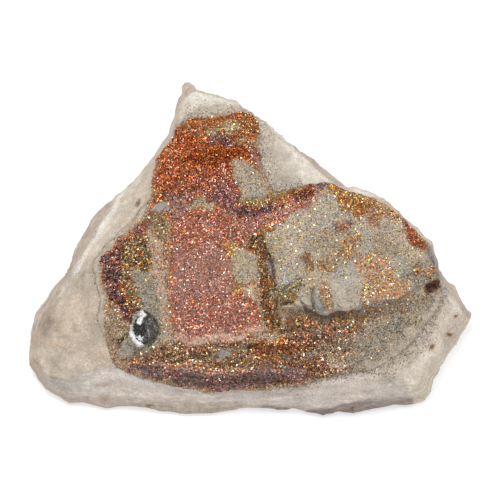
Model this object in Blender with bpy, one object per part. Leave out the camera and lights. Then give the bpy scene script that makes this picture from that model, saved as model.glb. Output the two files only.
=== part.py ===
"""Rainbow pyrite: a chip of pale mudstone with a druse of tarnished pyrite on its upper face.

The chip lies on its flat underside (z = 0). Four pieces: the mudstone, the pyrite crust that sits
in a shallow seat on it, a small dark crystal knot in a pocket of the crust, and the rim of white
mineral beside that knot.

Every outline below is drawn on a sheet that leans back over the bench at LEAN, so a point is
(across, up the sheet, height above the bench), all in millimetres. on_bench() lays it flat.
"""
import math
import random

import bpy
from mathutils import Vector, noise
from mathutils.bvhtree import BVHTree
from mathutils.geometry import delaunay_2d_cdt

MM = 0.001

# ---- driving dimensions, in millimetres ----
SPECIMEN_WIDTH = 89.0
DRAWN_WIDTH = 89.0          # width of RIM as it is drawn below
LEAN = math.radians(68.0)   # angle of the drawing sheet's line of sight above the bench

CRUST_RISE = 0.5            # the druse stands this much above the mudstone beside it
CRUST_EDGE_RISE = 0.2       # less at its border, which is rounded
CRUST_DEPTH = 1.2           # and goes this much below it
CRUST_EDGE_DEPTH = 0.9      # at its border it is thinner
SEAT_GAP = 0.3              # clearance between pieces that touch
LEDGE_UNDERCUT = 0.8        # how far the broken ledge hangs over its foot
LEDGE_SLOPE_RUN = 0.9       # drawn distance between the ledge and its foot

LEDGE_FADE_LENGTH = 3.0     # over which the undercut dies away at each end

RIM_STEP = 2.0              # spacing of points along the broken rim
ROCK_STEP = 2.3             # spacing over the mudstone's upper faces
CRUST_STEP = 1.25           # spacing over the druse
BED_STEP = 4.5              # spacing over hidden and flat faces
GRID_JITTER = 0.22          # scattered points leave their grid by up to this share of a step
CLEAR_SHARE = 0.58          # and keep this share of a step away from every drawn point
CHIP_SIZE = 0.16            # sideways roughness of broken edges
ROCK_ROUGHNESS = 0.22
CRUST_ROUGHNESS = 0.42

KNOT_CENTRE = (-20.8, -15.9, 10.3)  # across, up, height: the dark knot in its pocket
KNOT_RADII = (2.3, 2.9)
KNOT_HEIGHT = 2.1
KNOT_SIDES = 12
POCKET_DEPTH = 0.8
POCKET_BATTER = 0.08                # its wall leans out by this much
POCKET_SIDES = 24
MINERAL_HEIGHT = 1.5
MINERAL_START = math.radians(84)    # the white mineral runs round the knot's left side
MINERAL_END = math.radians(274)
MINERAL_STEPS = 16
MINERAL_NECK = 0.35                 # its width between and beyond the two patches
MINERAL_PATCHES = [                 # angle round the knot, spread, extra width
    (math.radians(114), math.radians(22), 0.80),
    (math.radians(224), math.radians(26), 1.10),
]

# ---- outlines, clockwise from the apex: (across, up, height) ----
RIM = [
    (-12.6, 33.2, 7.5), (-11.4, 32.6, 8.0), (-9.2, 31.8, 8.5), (-5.4, 30.8, 9.0),
    (-2.8, 30.0, 9.5), (-1.2, 28.4, 10.0), (0.4, 27.8, 10.5), (1.0, 26.8, 10.5),
    (2.8, 26.0, 9.0), (5.0, 24.0, 8.5), (6.6, 23.0, 8.5), (7.0, 22.0, 8.5),
    (9.6, 20.2, 8.0), (12.8, 18.2, 8.0), (14.6, 16.4, 8.5), (17.2, 14.2, 9.0),
    (19.2, 12.4, 10.0), (20.8, 12.8, 12.0), (22.8, 12.0, 12.0), (24.8, 11.2, 12.0),
    (28.2, 9.2, 12.0), (30.8, 6.6, 12.0), (32.4, 5.6, 11.5), (34.0, 3.6, 11.0),
    (36.4, 1.8, 10.0), (36.8, -0.2, 9.0), (37.8, -3.8, 8.0), (39.2, -6.2, 6.5),
    (40.8, -7.0, 5.0), (42.4, -10.0, 4.0), (44.0, -12.2, 3.5), (44.4, -13.6, 3.0),
    (43.2, -15.2, 2.5), (42.0, -16.8, 2.0), (41.6, -18.4, 2.0), (40.6, -20.2, 1.8),
    (38.2, -23.2, 1.5), (36.8, -26.0, 1.5), (36.4, -28.2, 1.2), (35.0, -30.2, 1.0),
    (33.2, -30.8, 0.8), (28.6, -31.0, 0.8), (23.2, -32.2, 0.7), (20.6, -32.8, 0.7),
    (17.6, -32.4, 0.7), (14.6, -33.2, 0.7), (11.4, -32.6, 0.8), (8.8, -31.8, 1.2),
    (4.2, -31.8, 1.2), (-2.0, -31.8, 1.0), (-3.2, -32.2, 0.9), (-7.8, -32.8, 0.8),
    (-12.4, -33.0, 0.8), (-17.6, -32.4, 0.9), (-20.6, -31.6, 1.0), (-23.4, -31.4, 1.0),
    (-28.8, -31.8, 0.9), (-31.0, -31.2, 1.0), (-33.2, -30.6, 1.0), (-36.2, -30.8, 1.0),
    (-38.2, -29.4, 1.2), (-40.6, -28.0, 1.5), (-42.6, -25.8, 2.0), (-44.4, -23.0, 2.5),
    (-44.6, -21.2, 2.5), (-43.8, -15.6, 2.5), (-43.0, -12.6, 2.2), (-40.6, -10.0, 2.0),
    (-39.6, -8.0, 2.0), (-36.6, -4.4, 2.0), (-35.4, -0.2, 2.0), (-33.4, 3.4, 2.0),
    (-32.2, 5.8, 2.2), (-30.6, 7.8, 2.4), (-28.0, 9.8, 2.8), (-25.8, 11.6, 3.4),
    (-23.8, 13.2, 4.0), (-22.0, 15.0, 4.5), (-20.4, 17.2, 4.8), (-19.2, 18.8, 5.0),
    (-16.6, 22.8, 5.5), (-15.2, 26.8, 6.0), (-14.2, 30.4, 6.5), (-13.0, 32.4, 7.0),
]

CRUST_EDGE = [
    # along the top of the upper block
    (-14.2, 24.6, 10.2), (-13.0, 25.2, 10.3), (-11.4, 26.0, 10.5), (-8.6, 25.8, 10.7),
    (-6.2, 26.2, 10.8), (-4.0, 26.4, 10.9), (-2.8, 26.9, 11.0), (-1.4, 27.0, 11.0),
    (-0.2, 26.6, 11.0), (1.0, 25.2, 11.0), (1.2, 23.0, 11.0), (1.0, 20.4, 11.0),
    (1.8, 16.8, 10.8), (2.6, 14.8, 10.8), (3.4, 12.6, 10.8), (4.4, 11.4, 11.0),
    # along the arm
    (5.6, 10.8, 11.4), (7.8, 11.4, 11.6), (9.8, 12.0, 11.8), (11.8, 12.6, 12.0),
    (13.4, 12.6, 12.0), (14.8, 13.0, 12.2), (16.2, 12.8, 12.6), (17.6, 12.0, 13.4),
    # around the right block
    (19.8, 11.0, 14.0), (22.0, 10.6, 14.0), (24.8, 9.8, 14.0), (27.4, 8.2, 13.8),
    (29.6, 6.4, 13.6), (31.2, 4.8, 13.4), (33.0, 3.0, 13.0), (35.0, 1.2, 12.0),
    (35.6, -0.4, 11.4), (36.4, -3.6, 10.6), (37.2, -6.2, 9.4), (37.8, -8.6, 9.0),
    # down the right slope, where it thins out
    (37.0, -10.8, 9.0), (35.0, -13.6, 9.0), (32.4, -17.0, 8.8), (29.0, -20.4, 8.6),
    (24.6, -23.0, 8.2), (19.4, -23.8, 8.0), (14.8, -24.6, 7.5), (10.0, -26.2, 6.9),
    # along the rolled lower lip
    (4.4, -26.7, 6.7), (3.6, -27.3, 6.6), (-3.2, -27.1, 6.6), (-6.8, -27.5, 6.5),
    (-8.4, -27.8, 6.4), (-9.4, -27.5, 6.5), (-10.2, -26.9, 6.7), (-15.0, -26.5, 6.8),
    (-20.0, -24.9, 7.1), (-24.8, -23.2, 7.5), (-26.2, -22.6, 7.7),
    # up the left lobe
    (-27.2, -20.6, 8.2), (-28.0, -17.0, 8.7), (-29.3, -15.0, 8.9), (-29.8, -13.4, 9.0),
    (-29.2, -11.2, 9.2), (-29.2, -8.8, 9.2), (-30.2, -6.0, 9.2), (-30.6, -3.6, 9.2),
    (-30.0, -1.8, 9.2), (-28.8, 0.0, 9.4), (-27.2, 1.4, 9.5), (-24.6, 4.0, 9.7),
    (-22.8, 5.4, 9.8), (-21.2, 8.2, 9.8), (-19.0, 10.4, 10.0), (-18.9, 12.8, 10.0),
    (-18.6, 16.0, 10.0), (-18.2, 18.2, 10.0), (-16.0, 21.0, 10.1), (-14.6, 22.8, 10.2),
]

# ---- edges between the mudstone's broken faces ----
ROCK_EDGES = {
    "left ridge": [
        (-41.6, -24.2, 5.2), (-42.2, -21.0, 6.0), (-41.2, -17.0, 6.4), (-39.8, -13.0, 6.6),
        (-38.0, -10.0, 6.8), (-36.0, -6.0, 7.0), (-33.0, -0.8, 7.4), (-31.2, 1.8, 7.5),
        (-29.4, 4.6, 7.6), (-28.2, 7.4, 7.6), (-25.4, 11.2, 7.2), (-23.6, 12.6, 7.0),
        (-21.4, 14.6, 7.4), (-19.6, 17.0, 7.8), (-18.2, 19.0, 8.0), (-15.8, 23.0, 8.6),
        (-14.4, 26.4, 9.0), (-13.4, 29.4, 9.2), (-12.0, 30.6, 9.4), (-11.0, 31.6, 9.3),
    ],
    "near left edge": [
        (-41.6, -24.2, 5.2), (-40.0, -25.2, 5.6), (-36.2, -25.6, 6.0), (-34.0, -24.8, 6.4),
        (-31.2, -24.0, 6.9), (-27.8, -23.8, 7.3),
    ],
    "near under edge": [
        (-36.0, -29.4, 2.6), (-30.0, -30.0, 2.4), (-22.0, -30.6, 2.6), (-13.0, -31.2, 2.8),
        (-6.0, -30.8, 3.2), (-2.0, -30.2, 3.8), (4.4, -30.5, 3.4), (8.8, -30.5, 3.2),
        (13.4, -31.8, 2.8), (17.0, -31.2, 3.2), (20.6, -30.8, 3.6), (24.0, -30.2, 3.8),
        (29.8, -29.3, 3.8), (32.0, -29.2, 3.8), (33.8, -27.6, 5.2),
    ],
    "right ridge": [
        (33.8, -27.6, 5.2), (36.0, -24.0, 5.8), (37.6, -21.0, 6.2), (39.0, -17.2, 6.6),
        (40.6, -15.2, 6.8), (41.2, -12.4, 7.2), (40.2, -10.0, 7.8), (39.0, -7.8, 8.2),
    ],
    "right shoulder": [(26.0, -23.8, 8.0), (30.0, -25.6, 7.0), (33.8, -27.6, 5.2)],
    "far right edge": [
        (3.4, 24.4, 10.4), (7.4, 20.8, 10.2), (10.0, 18.6, 10.0), (13.6, 15.6, 10.2),
        (16.4, 13.8, 10.8),
    ],
}

# ---- edges inside the druse ----
CRUST_EDGES = {
    "upper block step": [
        (-18.0, 11.0, 10.8), (-14.0, 11.4, 11.8), (-9.0, 10.8, 12.4), (-3.0, 10.0, 12.6),
        (1.4, 8.2, 12.6),
    ],
    "upper block foot": [
        (-17.4, 9.2, 10.4), (-14.0, 9.4, 10.9), (-9.0, 8.8, 11.3), (-3.0, 7.8, 11.6),
        (0.8, 5.9, 11.8),
    ],
    "strip crest": [
        (-18.8, 7.6, 10.8), (-19.2, 3.0, 11.0), (-17.8, -3.0, 11.0), (-17.2, -8.0, 10.9),
        (-17.4, -14.0, 10.6), (-17.0, -18.6, 10.0),
    ],
    "panel left": [
        (-16.6, 7.0, 10.6), (-16.8, 5.0, 10.8), (-16.0, -1.0, 10.7), (-15.6, -7.0, 10.6),
        (-15.6, -13.0, 10.4), (-14.6, -17.2, 10.3), (-10.0, -18.6, 10.4), (-5.0, -18.9, 10.5),
        (-1.0, -17.9, 10.7), (2.0, -16.0, 10.8),
    ],
    "panel foot": [
        (-15.6, -19.8, 9.2), (-10.0, -20.6, 9.1), (-5.0, -20.9, 9.1), (-0.4, -19.8, 9.2),
        (3.6, -17.6, 9.6),
    ],
    "gully": [
        (1.5, 3.4, 11.8), (1.7, 0.0, 11.2), (2.2, -4.0, 10.8), (2.7, -8.0, 10.6),
        (3.2, -12.0, 10.4), (4.2, -15.0, 10.1),
    ],
    "right block edge": [
        (5.2, -10.2, 14.0), (5.0, -7.0, 14.8), (4.4, -2.4, 15.0), (3.6, 0.0, 15.0),
        (3.0, 3.2, 15.0), (4.4, 5.0, 15.3), (7.0, 7.0, 15.6), (12.0, 9.0, 15.8),
        (15.6, 11.0, 15.0),
    ],
    "arm foot": [(4.0, 6.4, 12.8), (7.0, 8.4, 13.0), (12.0, 10.2, 13.2), (15.0, 11.8, 13.0)],
    "nodule crest": [(13.2, -6.6, 15.8), (14.0, -7.8, 16.4), (14.4, -9.2, 16.5)],
    "nodule foot": [(12.0, -7.2, 15.0), (11.9, -8.8, 14.6), (12.2, -10.2, 14.4)],
    "red terrace": [(10.0, -17.6, 10.5), (13.0, -17.0, 10.7), (16.0, -16.2, 10.9)],
    "red terrace foot": [(10.2, -18.6, 9.8), (13.4, -18.0, 10.0), (16.4, -17.2, 10.2)],
    "lip crest": [
        (-24.0, -21.6, 8.7), (-20.0, -23.1, 8.6), (-15.0, -24.4, 8.5), (-10.0, -24.9, 8.5),
        (-3.2, -25.0, 8.5), (3.6, -25.0, 8.5), (10.0, -24.2, 8.6), (14.8, -22.6, 8.8),
        (19.4, -21.8, 9.0),
    ],
}

# ---- the broken ledge along the near side of the right block, and its height at the foot ----
LEDGE = [
    (6.6, -11.4, 13.8), (8.4, -10.8, 14.2), (10.8, -11.4, 14.5), (13.4, -12.4, 15.2),
    (15.2, -12.8, 15.6), (17.2, -11.8, 14.9), (19.4, -12.2, 14.6), (22.4, -11.0, 14.4),
    (27.2, -10.0, 13.6), (29.4, -9.8, 13.2), (32.4, -8.2, 12.2), (34.4, -7.6, 11.2),
]
LEDGE_FOOT_HEIGHTS = [11.6, 11.8, 12.0, 12.0, 12.0, 11.9, 11.8, 11.6, 11.2, 11.0, 10.4, 9.9]

# ---- single heights inside the faces ----
SPOT_HEIGHTS = [
    (-9.0, 23.0, 12.0), (-3.0, 24.0, 12.2), (-12.0, 19.0, 12.0), (-5.0, 18.0, 12.6),
    (-1.0, 17.0, 12.0), (-14.0, 14.5, 11.8), (-7.0, 14.0, 12.6), (0.0, 13.0, 12.2),
    (-24.0, 0.0, 10.8), (-26.0, -5.0, 10.6), (-22.5, -7.0, 10.7), (-25.0, -12.0, 10.2),
    (-26.0, -18.0, 9.2), (-20.5, -21.2, 9.3), (-8.0, 2.0, 11.2), (-2.0, 0.0, 11.5),
    (-8.0, -8.0, 10.8), (-3.0, -10.0, 11.0), (10.0, 0.0, 16.0), (18.0, 5.0, 16.4),
    (26.0, 5.0, 16.0), (31.0, 1.5, 14.8), (34.0, -2.4, 12.8), (30.0, -4.0, 14.2),
    (22.0, -4.0, 15.6), (10.0, -6.0, 15.4), (16.0, -4.0, 15.8), (26.0, -6.5, 14.6),
    (8.0, -20.5, 9.5), (20.0, -17.0, 10.6), (26.0, -14.5, 10.8), (22.0, -20.0, 9.6),
    (30.0, -14.0, 10.2), (-3.0, -23.0, 8.9), (4.0, -22.0, 9.2), (34.0, -11.0, 10.0),
]

# ---- lumps and pits: (across, up, height, radius, rise) ----
LUMPS = [
    (15.0, -9.8, 14.8, 2.0, 0.6),       # nodule on the ledge
    (9.0, -9.6, 14.4, 1.4, 0.5),
    (4.3, -3.4, 15.0, 1.1, 0.6),        # smooth chip at the gully
    (21.8, 11.4, 13.4, 1.5, 0.5),       # pale chip on the far rim
    (36.6, -7.6, 10.2, 1.5, -1.5),      # dark pit at the right corner
    (36.4, -19.4, 6.6, 0.9, -0.7),
    (40.0, -17.0, 6.0, 0.9, -0.7),
    (-22.6, 9.4, 8.6, 0.8, -0.4),
    (-41.0, -15.0, 6.6, 1.6, -0.5),
    (-39.6, -20.4, 6.6, 1.6, -0.4),
    (-8.9, -27.8, 6.8, 1.2, 0.3),
]

# ---- underside: insets from the rim, and a lamina that has flaked off the flat face ----
BELT_INSET = 0.9
BELT_HEIGHT_SHARE = 0.42
FOOT_INSET = 2.6
FOOT_INSET_PER_HEIGHT = 0.32
FOOT_WANDER = 1.0
UNDERSIDE_CENTRE = (-1.0, -6.0)
FLAKE_SCAR = [(16.0, -14.0), (27.0, -17.5), (30.0, -8.0), (22.0, -2.0), (13.0, -4.0), (10.0, -9.0)]
FLAKE_SCAR_DEPTH = 0.7
FLAKE_SCAR_WALL = 0.6

SCALE = SPECIMEN_WIDTH / DRAWN_WIDTH


def on_bench(point):
    """Lays a point of the leaning sheet flat: x, y and z in millimetres."""
    across, up, height = point
    return Vector((across, (up - height * math.cos(LEAN)) / math.sin(LEAN), height))


def flat(point):
    return Vector((point[0], point[1]))


def fractal(x, y, size, layer):
    """Smooth noise, about -1 to 1, whose largest features are about one size across."""
    return noise.fractal(Vector((x / size, y / size, layer)), 0.7, 2.1, 4)


def is_inside(loop, x, y):
    """Even-odd test of a plan point against a closed loop."""
    inside = False
    previous = loop[-1]
    for corner in loop:
        if (corner[1] > y) != (previous[1] > y):
            share = (y - corner[1]) / (previous[1] - corner[1])
            if x < corner[0] + share * (previous[0] - corner[0]):
                inside = not inside
        previous = corner
    return inside


def split_line(line, step, closed=False, chip=CHIP_SIZE):
    """Adds points between the corners of a line, each pushed a little sideways like a chipped edge."""
    result = []
    ends = line[1:] + line[:1] if closed else line[1:]
    for start, end in zip(line, ends):
        along = end - start
        pieces = max(1, round(flat(along).length / step))
        sideways = Vector((-along.y, along.x, 0)).normalized()
        for index in range(pieces):
            point = start + along * (index / pieces)
            if index:
                point = point + sideways * chip * 2 * fractal(point.x, point.y, 1.5, 3.0)
            result.append(point)
    if not closed:
        result.append(line[-1].copy())
    return result


def push_out(loop, distance):
    """Offsets a clockwise plan loop outwards, mitred at its corners."""
    result = []
    for index, point in enumerate(loop):
        before = (flat(point) - flat(loop[index - 1])).normalized()
        after = (flat(loop[(index + 1) % len(loop)]) - flat(point)).normalized()
        normal = Vector((-before.y - after.y, before.x + after.x)).normalized()
        cosine = max(0.6, normal.dot(Vector((-before.y, before.x))))
        shift = normal * (distance / cosine)
        result.append(Vector((point.x + shift.x, point.y + shift.y, point.z)))
    return result


def scatter(loop, holes, step, keep_clear, seed):
    """Points on a jittered triangular grid inside a loop, clear of the given points."""
    draw = random.Random(seed)
    clearance = step * CLEAR_SHARE
    cells = {}
    for point in keep_clear:
        cells.setdefault((int(point[0] // step), int(point[1] // step)), []).append(point)
    low_x = min(point[0] for point in loop)
    high_x = max(point[0] for point in loop)
    low_y = min(point[1] for point in loop)
    high_y = max(point[1] for point in loop)
    row_height = step * math.sqrt(0.75)
    result = []
    for row in range(int((high_y - low_y) / row_height) + 1):
        for column in range(int((high_x - low_x) / step) + 2):
            x = low_x + (column + 0.5 * (row % 2) + draw.uniform(-GRID_JITTER, GRID_JITTER)) * step
            y = low_y + (row + draw.uniform(-GRID_JITTER, GRID_JITTER)) * row_height
            if not is_inside(loop, x, y) or any(is_inside(hole, x, y) for hole in holes):
                continue
            cell_x = int(x // step)
            cell_y = int(y // step)
            near = []
            for offset_x in (-1, 0, 1):
                for offset_y in (-1, 0, 1):
                    near += cells.get((cell_x + offset_x, cell_y + offset_y), [])
            if all(math.hypot(x - other[0], y - other[1]) > clearance for other in near):
                result.append(Vector((x, y)))
    return result


def triangulate(chains, spots):
    """Joins plan points into triangles that keep every chain as edges.

    chains holds (points, closed) pairs. Returns the points, in the order given, and the triangles
    as indices into them. A corner that two chains share is one point.
    """
    points = []
    places = {}
    edges = []
    for chain, closed in chains:
        indices = []
        for point in chain:
            key = (round(point.x, 4), round(point.y, 4))
            if key not in places:
                places[key] = len(points)
                points.append(point)
            indices.append(places[key])
        edges += list(zip(indices, indices[1:]))
        if closed:
            edges.append((indices[-1], indices[0]))
    points += spots
    plan = [flat(point) for point in points]
    vertices, _, faces, sources, _, _ = delaunay_2d_cdt(plan, edges, [], 0, 1e-6)
    crossings = [tuple(place) for place, source in zip(vertices, sources) if len(source) != 1]
    if crossings:
        raise ValueError(f"drawn lines cross at {crossings}")
    return points, [tuple(sources[corner][0] for corner in face) for face in faces]


def keep_inside(points, triangles, loop, holes=()):
    """The triangles whose centres are inside the loop and outside every hole."""
    kept = []
    for triangle in triangles:
        centre_x = sum(points[corner].x for corner in triangle) / 3
        centre_y = sum(points[corner].y for corner in triangle) / 3
        if is_inside(loop, centre_x, centre_y):
            if not any(is_inside(hole, centre_x, centre_y) for hole in holes):
                kept.append(triangle)
    return kept


class Ground:
    """A surface of flat faces through drawn lines and points, which gives a height anywhere."""

    def __init__(self, chains, spots):
        points, faces = triangulate(chains, spots)
        self.tree = BVHTree.FromPolygons([tuple(point) for point in points], faces)

    def height(self, x, y):
        hit = self.tree.ray_cast(Vector((x, y, 100.0)), Vector((0, 0, -1)))
        if hit[0] is None:
            hit = self.tree.find_nearest(Vector((x, y, 8.0)))
        return hit[0].z


def ledge_lines():
    """The ledge's lip drawn back behind its foot, so that both fit one plan."""
    lip = []
    foot = []
    for point, foot_height in zip(LEDGE, LEDGE_FOOT_HEIGHTS):
        place = on_bench(point)
        lip.append(place + Vector((0, LEDGE_UNDERCUT + LEDGE_SLOPE_RUN, 0)))
        foot.append(Vector((place.x, place.y + LEDGE_UNDERCUT, foot_height)))
    return lip, foot


def around_knot(centre, angle, outwards):
    """Plan point beside the knot's ellipse, this far outside it."""
    x = centre.x + (KNOT_RADII[0] + outwards) * math.cos(angle)
    y = centre.y + (KNOT_RADII[1] + outwards) * math.sin(angle)
    return Vector((x, y))


def mineral_width(angle):
    """Width of the white mineral at an angle round the knot: two patches joined by a neck."""
    if not MINERAL_START < angle < MINERAL_END:
        return 0.0
    nearest_end = min(angle - MINERAL_START, MINERAL_END - angle)
    taper = min(1.0, nearest_end / math.radians(16))
    width = MINERAL_NECK
    for middle, spread, extra in MINERAL_PATCHES:
        width += extra * math.exp(-(((angle - middle) / spread) ** 2))
    return width * taper


def pocket_loop(centre, extra):
    """The pocket's outline: around the knot and the mineral, wider by extra."""
    loop = []
    for side in range(POCKET_SIDES):
        angle = math.tau * (1 - side / POCKET_SIDES)
        outwards = extra
        if MINERAL_START - 0.2 < angle < MINERAL_END + 0.2:
            outwards += SEAT_GAP + mineral_width(angle)
        loop.append(around_knot(centre, angle, outwards))
    return loop


def lump_rise(x, y):
    """Height that the lumps and pits add at a plan point."""
    rise = 0.0
    for across, up, height, radius, amount in LUMPS:
        centre = on_bench((across, up, height))
        distance = math.hypot(x - centre.x, y - centre.y) / radius
        if distance < 1:
            rise += amount * (1 - distance ** 2) ** 0.8
    return rise


def rock_relief(x, y):
    return ROCK_ROUGHNESS * fractal(x, y, 7.0, 1.0) + lump_rise(x, y)


def crust_relief(x, y):
    return CRUST_RISE + CRUST_ROUGHNESS * fractal(x, y, 3.2, 2.0) + lump_rise(x, y)


def bed_height(ground, x, y):
    """Level of the druse's underside: below the lowest ground nearby, so cliffs stay clear of it."""
    lowest = ground.height(x, y)
    reach = BED_STEP * CLEAR_SHARE
    for index in range(12):
        angle = math.tau * index / 12
        for share in (0.5, 1.0):
            ring_x = x + reach * share * math.cos(angle)
            ring_y = y + reach * share * math.sin(angle)
            lowest = min(lowest, ground.height(ring_x, ring_y))
    return lowest - CRUST_DEPTH


def add_walls(faces, upper_start, lower_start, count):
    """Joins two loops of consecutive points; the upper one runs clockwise seen from above."""
    for index in range(count):
        following = (index + 1) % count
        upper = upper_start + index
        upper_next = upper_start + following
        lower = lower_start + index
        lower_next = lower_start + following
        faces.append((upper, upper_next, lower))
        faces.append((upper_next, lower_next, lower))


def make_piece(name, points, faces, colour, roughness, metallic):
    """A named object from points in millimetres, with its own material."""
    mesh = bpy.data.meshes.new(name)
    mesh.from_pydata([point * (SCALE * MM) for point in points], [], faces)
    material = bpy.data.materials.new(name)
    material.use_nodes = True
    shader = material.node_tree.nodes["Principled BSDF"]
    shader.inputs["Base Color"].default_value = (*colour, 1.0)
    shader.inputs["Roughness"].default_value = roughness
    shader.inputs["Metallic"].default_value = metallic
    mesh.materials.append(material)
    piece = bpy.data.objects.new(name, mesh)
    bpy.context.scene.collection.objects.link(piece)
    return piece


def make_crust(ground, edge, bed_points, bed_faces, knot_centre):
    """The druse: a lumpy upper skin, a plain bed and the wall of its broken border."""
    pocket_rim = pocket_loop(knot_centre, SEAT_GAP + POCKET_BATTER)
    pocket_floor = pocket_loop(knot_centre, SEAT_GAP)
    lip, foot = ledge_lines()
    lip = split_line(lip, CRUST_STEP)
    foot = split_line(foot, CRUST_STEP, chip=0.0)
    chains = [(edge, True), (pocket_rim, True), (pocket_floor, True), (lip, False), (foot, False)]
    for line in CRUST_EDGES.values():
        chains.append((split_line([on_bench(point) for point in line], CRUST_STEP), False))
    taken = [point for chain, _ in chains for point in chain]
    filling = scatter(edge, [pocket_rim], CRUST_STEP, taken, seed=11)
    plan, triangles = triangulate(chains, filling)

    floor_start = len(edge) + len(pocket_rim)
    lip_start = floor_start + len(pocket_floor)
    ledge_end = lip_start + len(lip) + len(foot)
    top = []
    for index, place in enumerate(plan):
        height = ground.height(place.x, place.y)
        if index < len(edge):
            height += CRUST_EDGE_RISE
        elif floor_start <= index < lip_start:
            height = knot_centre.z - SEAT_GAP
        elif lip_start <= index < ledge_end:
            height += CRUST_RISE
        else:
            height += crust_relief(place.x, place.y)
        top.append(Vector((place.x, place.y, height)))
    for index, place in enumerate(lip):
        from_end = min((place - lip[0]).length, (place - lip[-1]).length)
        overhang = min(1.0, from_end / LEDGE_FADE_LENGTH)
        top[lip_start + index].y -= (LEDGE_UNDERCUT + LEDGE_SLOPE_RUN) * overhang

    faces = keep_inside(plan, triangles, edge)
    bed_start = len(top)
    faces += [tuple(bed_start + corner for corner in reversed(face)) for face in bed_faces]
    add_walls(faces, 0, bed_start, len(edge))
    return make_piece("pyrite_crust", top + bed_points, faces, (0.36, 0.16, 0.07), 0.35, 0.8)


def underside_loops(rim):
    """The belt below the rim and the edge of the flat face, both drawn in towards the centre."""
    centre = Vector(UNDERSIDE_CENTRE)
    belt = []
    foot = []
    for point in rim:
        inward = (centre - flat(point)).normalized()
        inset = BELT_INSET * (1 + 0.6 * fractal(point.x, point.y, 5.0, 5.0))
        share = BELT_HEIGHT_SHARE * (1 + 0.45 * fractal(point.x, point.y, 6.0, 7.0))
        belt.append(Vector((*(flat(point) + inward * inset), point.z * share)))
    for point in rim[::3]:
        inward = (centre - flat(point)).normalized()
        wander = FOOT_WANDER * fractal(point.x, point.y, 9.0, 6.0)
        inset = FOOT_INSET + FOOT_INSET_PER_HEIGHT * point.z + wander
        foot.append(Vector((*(flat(point) + inward * inset), 0.0)))
    return belt, foot


def make_rock(ground, rim, seat_edge, bed_points, bed_faces):
    """The mudstone: broken upper faces around the druse's seat, and the underside it lies on."""
    chains = [(rim, True), (seat_edge, True)]
    for line in ROCK_EDGES.values():
        chains.append((split_line([on_bench(point) for point in line], RIM_STEP), False))
    taken = [point for chain, _ in chains for point in chain]
    filling = scatter(rim, [seat_edge], ROCK_STEP, taken, seed=5)
    plan, triangles = triangulate(chains, filling)
    top = []
    for index, place in enumerate(plan):
        height = ground.height(place.x, place.y)
        if index < len(rim):
            height = place.z
        elif index >= len(rim) + len(seat_edge):
            height += rock_relief(place.x, place.y)
        top.append(Vector((place.x, place.y, height)))
    faces = keep_inside(plan, triangles, rim, [seat_edge])

    seat = [point - Vector((0, 0, SEAT_GAP)) for point in bed_points]
    for index, place in enumerate(seat_edge):
        seat[index].x = place.x
        seat[index].y = place.y
    seat_start = len(top)
    faces += [tuple(seat_start + corner for corner in face) for face in bed_faces]
    add_walls(faces, seat_start, len(rim), len(seat_edge))

    under, under_faces = make_underside(rim)
    under_start = seat_start + len(seat) - len(rim)
    for face in under_faces:
        corners = [corner if corner < len(rim) else corner + under_start for corner in face]
        faces.append(tuple(reversed(corners)))
    return make_piece("matrix_rock", top + seat + under, faces, (0.62, 0.58, 0.53), 0.9, 0.0)


def make_underside(rim):
    """Points below the rim and faces that join them to it, as indices that count the rim first."""
    belt, foot = underside_loops(rim)
    scar = [Vector(place) for place in FLAKE_SCAR]
    scar_centre = sum(scar, Vector((0, 0))) / len(scar)
    scar_floor = [point + (scar_centre - point).normalized() * FLAKE_SCAR_WALL for point in scar]
    chains = [(chain, True) for chain in (rim, belt, foot, scar_floor, scar)]
    taken = [point for chain, _ in chains for point in chain]
    hidden = scatter(foot, [], BED_STEP, taken, seed=8)
    plan, triangles = triangulate(chains, hidden)
    scar_floor_start = len(rim) + len(belt) + len(foot)
    scar_start = scar_floor_start + len(scar_floor)
    points = []
    for index in range(len(rim), len(plan)):
        place = plan[index]
        height = 0.0
        if index < len(rim) + len(belt):
            height = place.z
        elif scar_floor_start <= index < scar_start or is_inside(scar_floor, place.x, place.y):
            height = FLAKE_SCAR_DEPTH
        points.append(Vector((place.x, place.y, height)))
    return points, keep_inside(plan, triangles, rim)


def make_knot(centre):
    """The dark crystal knot: a faceted boss of rings around a crooked peak."""
    draw = random.Random(21)
    rings = [(0.92, 0.0), (1.0, 0.34), (0.86, 0.70), (0.5, 0.94)]
    points = [centre.copy()]
    faces = []
    for reach, level in rings:
        for side in range(KNOT_SIDES):
            place = around_knot(centre, math.tau * side / KNOT_SIDES, 0.0)
            place = flat(centre).lerp(place, reach * draw.uniform(0.88, 1.0))
            lift = draw.uniform(-0.12, 0.12) if level else 0.0
            points.append(Vector((*place, centre.z + KNOT_HEIGHT * (level + lift))))
    for side in range(KNOT_SIDES):
        following = (side + 1) % KNOT_SIDES
        faces.append((0, 1 + following, 1 + side))
        for ring in range(len(rings) - 1):
            low = 1 + ring * KNOT_SIDES
            high = low + KNOT_SIDES
            faces.append((low + side, low + following, high + following))
            faces.append((low + side, high + following, high + side))
    points.append(centre + Vector((0.3, 0.5, KNOT_HEIGHT)))
    last = 1 + (len(rings) - 1) * KNOT_SIDES
    for side in range(KNOT_SIDES):
        faces.append((last + side, last + (side + 1) % KNOT_SIDES, len(points) - 1))
    return make_piece("dark_crystal_knot", points, faces, (0.06, 0.06, 0.065), 0.35, 0.8)


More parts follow.
